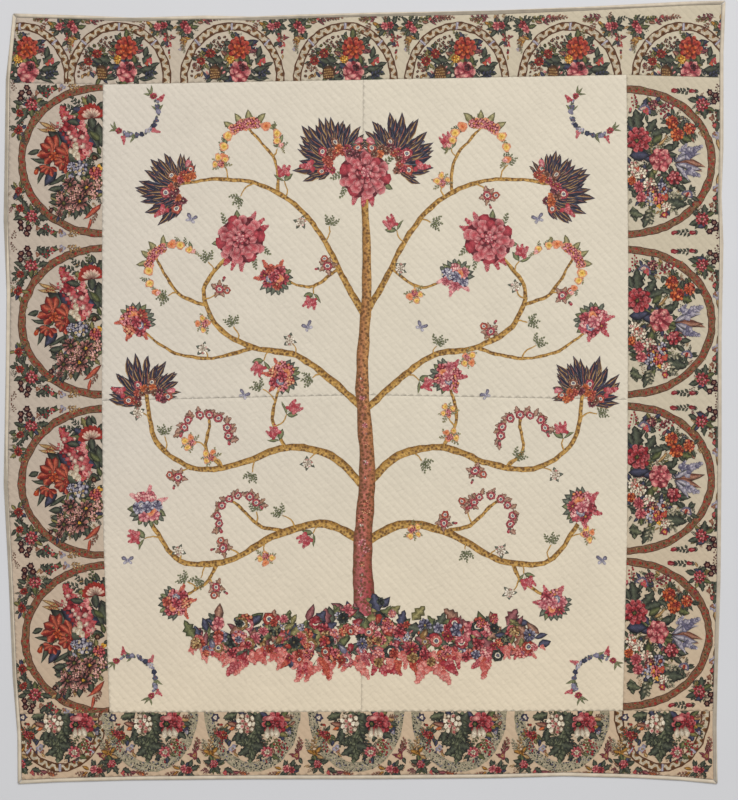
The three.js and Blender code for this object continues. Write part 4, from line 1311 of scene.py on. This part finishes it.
TRUNK = {"halves": (42, 12), "points": [(0, -850), (-8, -600), (10, -300), (-10, 50), (8, 400), (0, 780)]}
BOUGHS = [
    [
        ((17, 8), [(0, -570), (150, -500), (330, -540), (520, -640), (700, -640), (810, -500)]),
        ((7.5, 5), [(300, -530), (400, -505), (470, -440), (512, -408)]),
        ((7.5, 5), [(560, -650), (600, -720), (680, -770)]),
    ],
    [
        ((16, 7), [(0, -360), (130, -240), (300, -210), (470, -270), (640, -290), (790, -190), (830, 0)]),
        ((7, 5), [(300, -210), (350, -100), (320, 30)]),
        ((7, 5), [(540, -285), (600, -220), (590, -120), (590, -88)]),
    ],
    [
        ((14, 7), [(0, -70), (120, 40), (260, 140), (420, 170), (560, 250), (610, 390), (520, 520)]),
        ((7, 4.5), [(420, 170), (580, 130), (720, 150), (840, 230)]),
        ((7, 4.5), [(603, 330), (700, 370), (770, 470), (798, 522)]),
    ],
    [
        ((12, 6), [(0, 290), (80, 430), (150, 570), (250, 700), (400, 790), (560, 810), (720, 790)]),
        ((6, 4.5), [(330, 755), (340, 880), (420, 980), (452, 1017)]),
        ((6, 4.5), [(100, 470), (210, 400), (310, 430)]),
    ],
]
HEADS = [
    ("peony_top", "peony", 0, 830, 92, 0),
    ("peony", "peony", 470, 580, 88, 20),
    ("plume_top", "plume", 150, 960, 125, 55),
    ("plume_high", "plume", 775, 805, 120, 20),
    ("plume_low", "plume", 838, 62, 115, 80),
    ("garland_high", "garland", 455, 1020, 112, 75),
    ("garland_side", "garland", 800, 525, 105, 40),
    ("garland_inner", "garland", 590, -85, 95, 100),
    ("garland_low", "garland", 515, -405, 90, 60),
    ("cluster_high", "cluster", 345, 438, 58, 10),
    ("cluster_inner", "cluster", 315, 62, 58, 100),
    ("cluster_side", "cluster", 870, 268, 62, 40),
    ("cluster_low", "cluster", 825, -435, 64, 80),
    ("cluster_foot", "cluster", 715, -800, 58, -30),
    ("corner_spray_top", "spray", 812, 1005, 105, -135),
    ("corner_spray_foot", "spray", 822, -1030, 105, 135),
]

BARK_TONES = ((-1, MIDDLE), (-0.4, LIGHT), (0.4, MIDDLE), (1, DEEP))
BARK_ROWS = [(share, INKS["ochre"][tone]) for share, tone in BARK_TONES]
TRUNK_INKS = ((-1, "maroon"), (-0.6, "crimson"), (0.2, "pink"), (1, "brown"))
TRUNK_ROWS = [(share, INKS[name][DEEP]) for share, name in TRUNK_INKS]
# How many flowers are printed on the trunk and up to what share of its height
TRUNK_FLOWERS = 46
TRUNK_SPAN = 0.62
SIDES = (("right", 1), ("left", -1))
TRUNK_SEED, HEAD_SEED, BED_SEED, TWIG_SEED = 5, 100, 7, 21
SEWN_LEVEL = 0.25 * MM
VINES = ("garland_low", "garland_inner")
FULLNESS = {"peony": 1.1, "plume": 1.22, "garland": 1.12, "cluster": 1.15, "spray": 0.95}
# Butterflies over the plain cloth: place and turn
FLIGHTS = [(205, 945, 70), (660, 660, 110), (215, 250, 60), (460, -10, 120), (900, -640, 90)]


def arc_place(radius, angle, size):
    """A place on a head's arc, whose middle is the head's own."""
    x, y = turned(radius, 0, angle)
    return (x - radius) * size, y * size


def peony_head(press, size, draw):
    for angle in (98, 118, 134, 248, 268, 284):
        press.stamp("raceme", "crimson", *turned(size * 0.6, 0, angle), size * 0.66, angle)
    for angle in (24, 178, 214):
        press.stamp("sprig", "green", *turned(size * 0.8, 0, angle), size * 0.52, angle + 24)
    for angle in (60, 330):
        press.stamp("leaf", "green", *turned(size * 0.7, 0, angle), size * 0.5, angle)
    press.stamp("peony", "crimson", 0, 0, size * 1.02, draw.uniform(0, 40))
    for i in range(9):
        turn = 40 * i + draw.uniform(-16, 16)
        press.stamp("petal", "crimson", *turned(size * 0.18, 0, 40 * i), size * 0.46, turn)
    press.stamp("rose", "crimson", 0, 0, size * 0.4, 0)
    press.stamp("rose", "pink", size * 0.06, size * 0.04, size * 0.2, 0)


PLUME_LAYERS = (
    (19, 0.4, 0.92, "plume"), (17, 0.32, 0.84, "navy"), (15, 0.3, 0.7, "plume"), (12, 0.28, 0.5, "navy")
)


def plume_head(press, size, draw):
    for count, start, reach, inks in PLUME_LAYERS:
        for i in range(count):
            share = (i + 0.5) / count
            angle = 190 * (share - 0.5)
            swell = math.sin(math.pi * (0.16 + 0.74 * share**0.8))
            x, y = turned(start, 0, angle)
            length, turn = reach * size * swell * draw.uniform(0.84, 1.08), angle + draw.uniform(-14, 14)
            press.stamp("plume_leaf", inks, (x - 0.72) * size, y * size, length, turn)
    for i, inks in enumerate(("coral", "crimson", "brown", "coral")):
        x, y = turned(0.55, 0, 50 * (i - 1.5) + draw.uniform(-8, 8))
        press.stamp("eyed", inks, (x - 0.72) * size, y * size, size * draw.uniform(0.11, 0.16), 40 * i)
    for i in range(12):
        x, y = turned(0.3 + 0.1 * (i % 2), 0, 180 * (i / 11 - 0.5))
        inks = draw.choice(("coral", "crimson", "maroon", "brown", "orange"))
        press.stamp(draw.choice(("dahlia", "rose")), inks, (x - 0.72) * size, y * size, size * 0.12)
    press.stamp("raceme", "crimson", -0.42 * size, -0.5 * size, size * 0.5, -60)
    press.stamp("bud", "pink", -0.5 * size, 0.62 * size, size * 0.16, 100)


def garland_head(press, size, draw):
    for i in range(14):
        angle = 176 * (i / 13 - 0.5)
        x, y = arc_place(0.88, angle, size)
        turn = angle + draw.choice((-1, 1)) * draw.uniform(20, 110)
        kind = draw.choice(("leaf", "sprig", "sprig"))
        press.stamp(kind, draw.choice(("green", "olive")), x, y, size * 0.3, turn)
    for turn in (-46, -16, 16, 50):
        x, y = arc_place(0.92, turn * 0.42, size)
        press.stamp("leaf", "olive", x, y, size * 0.42, turn * 1.1)
    for i in range(9):
        angle = 168 * (i / 8 - 0.5)
        x, y = arc_place(0.88 + draw.uniform(-0.09, 0.09), angle, size)
        across = size * (0.1 + 0.11 * (1 - abs(angle) / 110))
        press.stamp("bloom", "gold" if i % 3 else "orange", x, y, across, draw.uniform(0, 60))
    for angle in (-92, 92):
        x, y = arc_place(0.88, angle, size)
        press.stamp("bloom", "pink", x, y, size * 0.09)
        press.stamp("sprig", "olive", x, y, size * 0.26, angle + (80 if angle > 0 else -80))
    for i in range(5):
        x, y = arc_place(0.84 + 0.07 * (i % 2), 11 * (i - 2), size)
        press.stamp("speckled", "crimson", x, y, size * 0.17, 20 * i)


def vine_head(press, size, draw):
    """Brown leaves and eyed crimson flowers along an arc."""
    for i in range(18):
        angle = 170 * (i / 17 - 0.5)
        x, y = arc_place(0.88, angle, size)
        turn = angle + draw.choice((-1, 1)) * draw.uniform(0, 80)
        press.stamp("lobed_leaf", draw.choice(("brown", "vine", "brown")), x, y, size * 0.34, turn)
    for i in range(7):
        x, y = arc_place(0.88 + 0.1 * (i % 2 - 0.5), 150 * (i / 6 - 0.5), size)
        press.stamp("eyed", "crimson", x, y, size * 0.17, 20 * i)
    for angle in (-88, 88):
        x, y = arc_place(0.88, angle, size)
        press.stamp("bud", "crimson", x, y, size * 0.13, angle + (90 if angle > 0 else -90))


CLUSTER_INKS = (("crimson", "pink", "crimson"), ("pink", "lilac", "pink"), ("coral", "crimson", "crimson"))


def cluster_head(press, size, draw):
    inks = draw.choice(CLUSTER_INKS)
    side = draw.uniform(0, 360)
    for i in range(9):
        angle = side + 150 * (i / 8 - 0.5)
        kind = draw.choice(("leaf", "lobed_leaf", "leaf"))
        leaf_inks = draw.choice(("green", "teal", "teal"))
        press.stamp(kind, leaf_inks, *turned(size * 0.3, 0, angle), size * 0.78, angle)
    for turn in (120, 180, 240):
        press.stamp("raceme", inks[0], *turned(size * 0.2, 0, side + turn), size * 0.95, side + turn)
    for i in range(6):
        x, y = turned(size * 0.55, 0, side + 60 * i + 15)
        kind = draw.choice(("rose", "speckled", "dahlia"))
        press.stamp(kind, inks[i % 3], x, y * 0.84, size * 0.36, 30 * i)
    press.stamp("bloom", "orange", *turned(size * 0.32, 0, side - 40), size * 0.26)
    press.stamp("eyed", "lilac", *turned(size * 0.3, 0, side + 100), size * 0.24)
    press.stamp("rose", inks[1], 0, 0, size * 0.36)


def spray_head(press, size, draw):
    for angle in (-84, -40, 40, 84):
        x, y = arc_place(0.95, angle, size)
        for turn in (-40, -10, 20):
            press.stamp("long_leaf", "green", x, y, size * 0.36, angle + (90 if angle > 0 else -90) + turn)
    for i in range(11):
        x, y = arc_place(0.95, 130 * (i / 10 - 0.5), size)
        press.stamp("bud", "lilac", x, y, size * 0.12, draw.uniform(0, 360))
    for angle in (-62, 4, 66):
        x, y = arc_place(0.95, angle, size)
        press.stamp("raceme", "crimson", x, y, size * 0.42, angle + draw.uniform(-40, 40))
    for i in range(8):
        x, y = arc_place(0.95 + 0.12 * (i % 2 - 0.5), 110 * (i / 7 - 0.5), size)
        press.stamp(("floret", "berry")[i % 2], ("navy", "lilac")[i % 3 % 2], x, y, size * 0.11, 20 * i)
    for i in (-1, 1):
        x, y = arc_place(0.95, 80 * i, size)
        press.stamp("dahlia", "crimson", x, y, size * 0.15)


MAKERS = (peony_head, plume_head, garland_head, vine_head, cluster_head, spray_head)
HEAD_MAKERS = {maker.__name__.removesuffix("_head"): maker for maker in MAKERS}
TRUNK_PRINT = (
    ("rose", "pink"), ("leaf", "maroon"), ("speckled", "coral"), ("leaf", "white"), ("petal", "crimson")
)


def sew_boughs(context):
    cloth = context.scene.quilt_cloth
    bark = chintz("chintz_bark", cloth.pitch, flecks=0.9)
    level = cloth.puff_height + SEWN_LEVEL
    for number, stems in enumerate(BOUGHS):
        for side, way in SIDES:
            press = Print()
            press.move_to(0, 0, flip_x=way)
            for halves, points in stems[::-1]:
                press.strip(smooth_line(points, 8), halves, BARK_ROWS)
            name = f"bough_{side}_{number + 1}"
            press.finish(f"{name}_cloth", bark, cloth, level, replaced=[name])
    draw = random.Random(TRUNK_SEED)
    press = Print()
    line = smooth_line(TRUNK["points"], 10)
    foot, head = TRUNK["halves"]
    press.strip(line, (foot, head), TRUNK_ROWS, BARK_ROWS)
    for i in range(TRUNK_FLOWERS):
        share = TRUNK_SPAN * i / TRUNK_FLOWERS
        spot = line[int(len(line) * share)]
        half = (foot + (head - foot) * share) * 0.72
        kind, inks = draw.choice(TRUNK_PRINT)
        x, size = spot.x + draw.uniform(-half, half) * 0.6, half * draw.uniform(0.4, 0.7)
        press.stamp(kind, inks, x, spot.y, size, draw.uniform(60, 120))
    press.finish("trunk_cloth", bark, cloth, level + 3 * LAYER, replaced=["trunk"])


def sew_heads(context):
    cloth = context.scene.quilt_cloth
    materials = {kind: chintz(f"chintz_{kind}", cloth.pitch) for kind in FULLNESS}
    level = cloth.puff_height + SEWN_LEVEL + 12 * LAYER
    for number, (name, kind, x, y, size, turn) in enumerate(HEADS):
        maker = HEAD_MAKERS["vine" if name in VINES else kind]
        for side, way in SIDES if x else (("", 1),):
            piece = f"{name}_{side}" if side else name
            press = Print()
            press.move_to(way * x, y, turn, flip_x=way)
            maker(press, size * FULLNESS[kind], random.Random(HEAD_SEED + 2 * number + (way > 0)))
            press.finish(f"{piece}_cloth", materials[kind], cloth, level, replaced=[piece])


BED_MIDDLE_Y = -940
# How far the bed reaches above and below its middle at a distance left and right of the trunk
BED_REACH = {
    0: (150, 130), 50: (170, 160), 100: (120, 150), 150: (84, 128), 200: (96, 150), 250: (84, 170),
    300: (98, 130), 350: (92, 108), 400: (70, 120), 450: (84, 150), 500: (96, 112), 550: (92, 84),
    600: (62, 96), 645: (36, 60),
}
BED_SPREAD = 22
BED_LEAF_INKS = ("teal", "navy", "green", "olive", "brown", "maroon")
BED_FLOWERS = ("rose", "dahlia", "eyed", "speckled", "speckled", "rose", "bud", "leaf")
BED_INKS = ("crimson", "crimson", "coral", "coral", "tan", "pink", "salmon", "lilac", "teal")


def sew_bed(context):
    cloth = context.scene.quilt_cloth
    draw = random.Random(BED_SEED)
    press = Print()
    columns = [(way * x, *reach) for x, reach in BED_REACH.items() for way in ((1, -1) if x else (1,))]
    for x, above, below in columns:
        for _ in range(round((above + below) / 22)):
            y = BED_MIDDLE_Y + draw.uniform(-0.6 * below, 0.8 * above)
            kind, inks = draw.choice(("lobed_leaf", "leaf", "leaf", "lobed_leaf")), draw.choice(BED_LEAF_INKS)
            out = draw.uniform(-BED_SPREAD, BED_SPREAD)
            press.stamp(kind, inks, x + out, y, draw.uniform(44, 78), draw.uniform(0, 180))
    for x, above, below in columns:
        for _ in range(4):
            y = BED_MIDDLE_Y - draw.uniform(0.1, 0.5) * below
            inks = draw.choice(("salmon", "salmon", "crimson", "coral"))
            turn = -90 + draw.uniform(-60, 60)
            press.stamp("raceme", inks, x + draw.uniform(-24, 24), y, draw.uniform(0.3, 0.72) * below, turn)
    for x, above, below in columns:
        for _ in range(round((above + below) / 30)):
            y = BED_MIDDLE_Y + draw.uniform(-0.55 * below, 0.86 * above)
            kind, inks = draw.choice(BED_FLOWERS), draw.choice(BED_INKS)
            out = draw.uniform(-BED_SPREAD, BED_SPREAD)
            press.stamp(kind, inks, x + out, y, draw.uniform(15, 30), draw.uniform(0, 360))
    print_cloth = chintz("chintz_flower_bed", cloth.pitch, depth=1.2)
    level = cloth.puff_height + SEWN_LEVEL + 24 * LAYER
    press.finish("flower_bed_cloth", print_cloth, cloth, level, replaced=["flower_bed"])


def beside(x, y, reach, turn):
    return Vector((x, y)) + Vector(turned(reach, 0, turn))


def posy(press, kind, x, y, turn, draw):
    """What a twig ends in."""

    def spread(shape, inks, size, turns):
        for angle in turns:
            press.stamp(shape, inks, x, y, size, turn + angle)

    if kind == "raceme":
        spread("leaf", "green", 44, (50,))
        spread("long_leaf", "green", 50, (-60,))
        for angle in (-16, 4, 22):
            press.stamp("raceme", "crimson", *beside(x, y, 8, turn + angle), 58, turn + angle)
    elif kind == "blooms":
        spread("sprig", "olive", 40, (-100, -40, 10, 70, 120))
        for angle, reach in ((-70, 24), (0, 27), (66, 22), (170, 8)):
            dx, dy = turned(reach, 0, turn + angle)
            inks = draw.choice(("gold", "gold", "orange"))
            press.stamp("bloom", inks, x + dx, y + dy, draw.uniform(11, 15))
        press.stamp("speckled", "crimson", x, y, 14)
    elif kind == "eyed":
        for angle in (-120, -50, 20, 90, 150):
            press.stamp("lobed_leaf", draw.choice(("brown", "vine")), x, y, 38, turn + angle)
        press.stamp("eyed", "crimson", x, y, 19)
        press.stamp("eyed", "coral", *beside(x, y, 32, turn + 50), 15)
        press.stamp("bud", "crimson", *beside(x, y, 42, turn - 30), 11, turn - 30)
    elif kind == "rosebud":
        spread("leaf", "teal", 30, (-110, -40, 35, 120))
        press.stamp("speckled", "white", x, y, 20)
        press.stamp("rose", "white", x, y, 12)
    else:
        spread("sprig", "green", 46, (-34, 0, 40))


TWIG_ENDS = ("raceme", "sprig", "blooms", "eyed", "sprig", "rosebud")


def sew_twigs(context):
    cloth = context.scene.quilt_cloth
    for side, way in SIDES:
        draw = random.Random(TWIG_SEED + way)
        press = Print()
        press.move_to(0, 0, flip_x=way)
        number = way
        for stems in BOUGHS:
            for stem_number, (_, points) in enumerate(stems):
                line = smooth_line(points, 8)
                count = 2 if stem_number else 7
                for i in range(count):
                    step = int(len(line) * (0.16 + 0.8 * (i + 0.5) / count))
                    turn = heading(line, step) + (55 if (i + stem_number) % 2 else -55)
                    turn += draw.uniform(-12, 12)
                    at, length = line[step], draw.uniform(34, 72)
                    dx, dy = turned(length, 0, turn)
                    bend_x, bend_y = turned(0, length * 0.15, turn)
                    end = (at.x + dx, at.y + dy)
                    number += 1
                    # Twigs that would end under a flower head are left out
                    if any(math.dist(end, head[2:4]) < head[4] * 0.9 + 34 for head in HEADS):
                        continue
                    bent = [(at.x, at.y), (at.x + dx / 2 + bend_x, at.y + dy / 2 + bend_y), end]
                    press.strip(smooth_line(bent, 3), (3.0, 2.0), BARK_ROWS)
                    posy(press, TWIG_ENDS[number % len(TWIG_ENDS)], *end, turn, draw)
        for x, y, turn in FLIGHTS:
            press.stamp("butterfly", "lilac", x, y, 27, turn)
        ink = chintz(f"chintz_twigs_{side}", cloth.pitch)
        level = cloth.puff_height + SEWN_LEVEL + 4 * LAYER
        press.finish(f"twigs_{side}", ink, cloth, level)


# Cloth, binding and stage

def quilt_panel(name, material, cloth):
    outline = outline_of(name)
    cos, sin = math.cos(cloth.slant), math.sin(cloth.slant)
    across = [x * cos + y * sin for x, y in outline]
    along = [y * cos - x * sin for x, y in outline]
    low_across = math.floor(min(across) / cloth.pitch) * cloth.pitch
    low_along = math.floor(min(along) / ALONG_STEP) * ALONG_STEP
    columns = math.ceil((max(across) - low_across) / cloth.pitch) * round(cloth.pitch / ACROSS_STEP)
    rows = math.ceil((max(along) - low_along) / ALONG_STEP)
    bm = bmesh.new()
    bmesh.ops.create_grid(bm, x_segments=columns, y_segments=rows, size=1)
    step = cloth.pitch / round(cloth.pitch / ACROSS_STEP)
    for vert in bm.verts:
        s = low_across + (vert.co.x + 1) / 2 * columns * step
        u = low_along + (vert.co.y + 1) / 2 * rows * ALONG_STEP
        s += waver(s, u, cloth.waver)
        vert.co = (s * cos - u * sin, s * sin + u * cos, 1)
    cut_to(bm, outline)
    close_below(bm)
    piece = piece_from(bm, f"{name}_cloth", material, cloth)
    place = np.empty(len(piece.data.vertices) * 3)
    piece.data.vertices.foreach_get("co", place)
    place = place.reshape(-1, 3)
    top = place[:, 2] > 0.5
    place[top, 2] = cloth_height(place[top, 0], place[top, 1], outline, cloth)
    piece.data.vertices.foreach_set("co", place.ravel())
    piece.data.update()
    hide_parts(name)


def bind_edge(name, material, cloth):
    outline = outline_of(name)
    bm = bmesh.new()
    bm.faces.new([bm.verts.new((x, y, 1.2 * MM)) for x, y in outline])
    for edge in list(bm.edges):
        cuts = int(edge.calc_length() / (14 * MM))
        if cuts:
            bmesh.ops.subdivide_edges(bm, edges=[edge], cuts=cuts)
    top = bm.faces[:]
    for inset, rise in ((0.5, 1.6), (0.9, 1.0), (1.6, 0.5), (2.6, 0.1)):
        bmesh.ops.inset_region(bm, faces=top, thickness=inset * MM, use_even_offset=True)
        for vert in {v for f in top for v in f.verts}:
            vert.co.z += rise * MM
    for vert in bm.verts:
        if vert.co.z > 2 * MM:
            vert.co.z += 0.15 * MM * math.sin(vert.co.x * 170) * math.sin(vert.co.y * 190)
            vert.co.z = min(vert.co.z, cloth.binding_height)
    close_below(bm)
    piece = piece_from(bm, f"{name}_cloth", material, cloth)
    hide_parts(name)


class QUILT_OT_stage(Operator):
    """Sets the camera, the floor and soft studio light"""

    bl_idname = "quilt.stage"
    bl_label = "Stage"

    def execute(self, context):
        scene = context.scene

        def linked(name, data):
            thing = bpy.data.objects.new(name, data)
            scene.collection.objects.link(thing)
            return thing

        scene.camera = linked("camera", bpy.data.cameras.new("camera"))
        scene.camera.data.lens = LENS_MM
        height = VIEW_LENGTH * LENS_MM / SENSOR_MM + scene.quilt_cloth.puff_height
        scene.camera.location = (*VIEW_MIDDLE, height)
        bm = bmesh.new()
        bmesh.ops.create_grid(bm, x_segments=1, y_segments=1, size=FLOOR_REACH)
        bmesh.ops.translate(bm, verts=bm.verts, vec=(0, 0, FLOOR_HEIGHT))
        mesh = bpy.data.meshes.new("floor")
        bm.to_mesh(mesh)
        bm.free()
        mesh.materials.append(pale_floor("painted_floor", scene.quilt_colours.floor))
        linked("floor", mesh)
        for name, (place, size, power) in LAMPS.items():
            lamp = bpy.data.lights.new(name, "AREA")
            lamp.size = size
            lamp.energy = power
            light = linked(name, lamp)
            light.location = place
            light.rotation_euler = (-Vector(place)).to_track_quat("-Z", "Y").to_euler()
        scene.world = bpy.data.worlds.new("pale room")
        scene.world.use_nodes = True
        background = scene.world.node_tree.nodes["Background"]
        background.inputs["Color"].default_value = (1.0, 1.0, 1.0, 1.0)
        background.inputs["Strength"].default_value = ROOM_STRENGTH
        scene.view_settings.view_transform = "Standard"
        return {"FINISHED"}


class QUILT_OT_panels(Operator):
    """Quilts the four lengths of the field and the four border strips"""

    bl_idname = "quilt.panels"
    bl_label = "Quilted cloth"

    def execute(self, context):
        cloth, colours = context.scene.quilt_cloth, context.scene.quilt_colours
        tones = (colours.field, colours.field_cool, colours.field_warm)
        plain = cotton_ground("quilted_plain_cotton", *tones, cloth.pitch)
        tones = (colours.border, colours.border_cool, colours.border_warm)
        ground = cotton_ground("quilted_border_cotton", *tones, cloth.pitch)
        for name in FIELD_PANELS:
            quilt_panel(name, plain, cloth)
        for name in BORDER_PANELS:
            quilt_panel(name, ground, cloth)
        return {"FINISHED"}


class QUILT_OT_binding(Operator):
    """Folds the four strips round the edge"""

    bl_idname = "quilt.binding"
    bl_label = "Binding"

    def execute(self, context):
        tape = binding_tape("binding_tape", context.scene.quilt_colours.binding)
        for name in BINDINGS:
            bind_edge(name, tape, context.scene.quilt_cloth)
        return {"FINISHED"}


class QUILT_OT_side_print(Operator):
    """Prints ovals with bouquets on the side borders"""

    bl_idname = "quilt.side_print"
    bl_label = "Side borders' print"

    def execute(self, context):
        print_sides(context)
        return {"FINISHED"}


class QUILT_OT_end_print(Operator):
    """Prints arches with bouquets on the head and foot borders"""

    bl_idname = "quilt.end_print"
    bl_label = "End borders' print"

    def execute(self, context):
        print_ends(context)
        return {"FINISHED"}


class QUILT_OT_boughs(Operator):
    """Sews the trunk, the boughs and their twigs to the field"""

    bl_idname = "quilt.boughs"
    bl_label = "Trunk, boughs and twigs"

    def execute(self, context):
        sew_boughs(context)
        sew_twigs(context)
        return {"FINISHED"}


class QUILT_OT_heads(Operator):
    """Sews the blossoms, leaf fans, garlands and sprays to the field"""

    bl_idname = "quilt.heads"
    bl_label = "Blossoms and sprays"

    def execute(self, context):
        sew_heads(context)
        return {"FINISHED"}


class QUILT_OT_bed(Operator):
    """Sews the bed of flowers at the foot of the tree"""

    bl_idname = "quilt.bed"
    bl_label = "Flower bed"

    def execute(self, context):
        sew_bed(context)
        return {"FINISHED"}


OPERATORS = (
    QUILT_OT_stage,
    QUILT_OT_panels,
    QUILT_OT_binding,
    QUILT_OT_side_print,
    QUILT_OT_end_print,
    QUILT_OT_boughs,
    QUILT_OT_heads,
    QUILT_OT_bed,
)


class QUILT_PT_sidebar(Panel):
    bl_label = "Chintz quilt"
    bl_idname = "QUILT_PT_sidebar"
    bl_space_type = "VIEW_3D"
    bl_region_type = "UI"
    bl_category = "Quilt"

    def draw(self, context):
        for group in (context.scene.quilt_cloth, context.scene.quilt_colours):
            for name in group.__annotations__:
                self.layout.prop(group, name)
        for operator in OPERATORS:
            self.layout.operator(operator.bl_idname)


CLASSES = (QuiltCloth, QuiltColours, *OPERATORS, QUILT_PT_sidebar)


def register():
    for cls in CLASSES:
        bpy.utils.register_class(cls)
    bpy.types.Scene.quilt_cloth = PointerProperty(type=QuiltCloth)
    bpy.types.Scene.quilt_colours = PointerProperty(type=QuiltColours)


def unregister():
    del bpy.types.Scene.quilt_colours
    del bpy.types.Scene.quilt_cloth
    for cls in reversed(CLASSES):
        bpy.utils.unregister_class(cls)


def main():
    register()
    bpy.ops.quilt.stage()
    bpy.ops.quilt.panels()
    bpy.ops.quilt.binding()
    bpy.ops.quilt.side_print()
    bpy.ops.quilt.end_print()
    bpy.ops.quilt.boughs()
    bpy.ops.quilt.heads()
    bpy.ops.quilt.bed()
    for block in CUT_BLOCKS.values():
        bpy.data.meshes.remove(block[0])


if __name__ == "__main__":
    main()
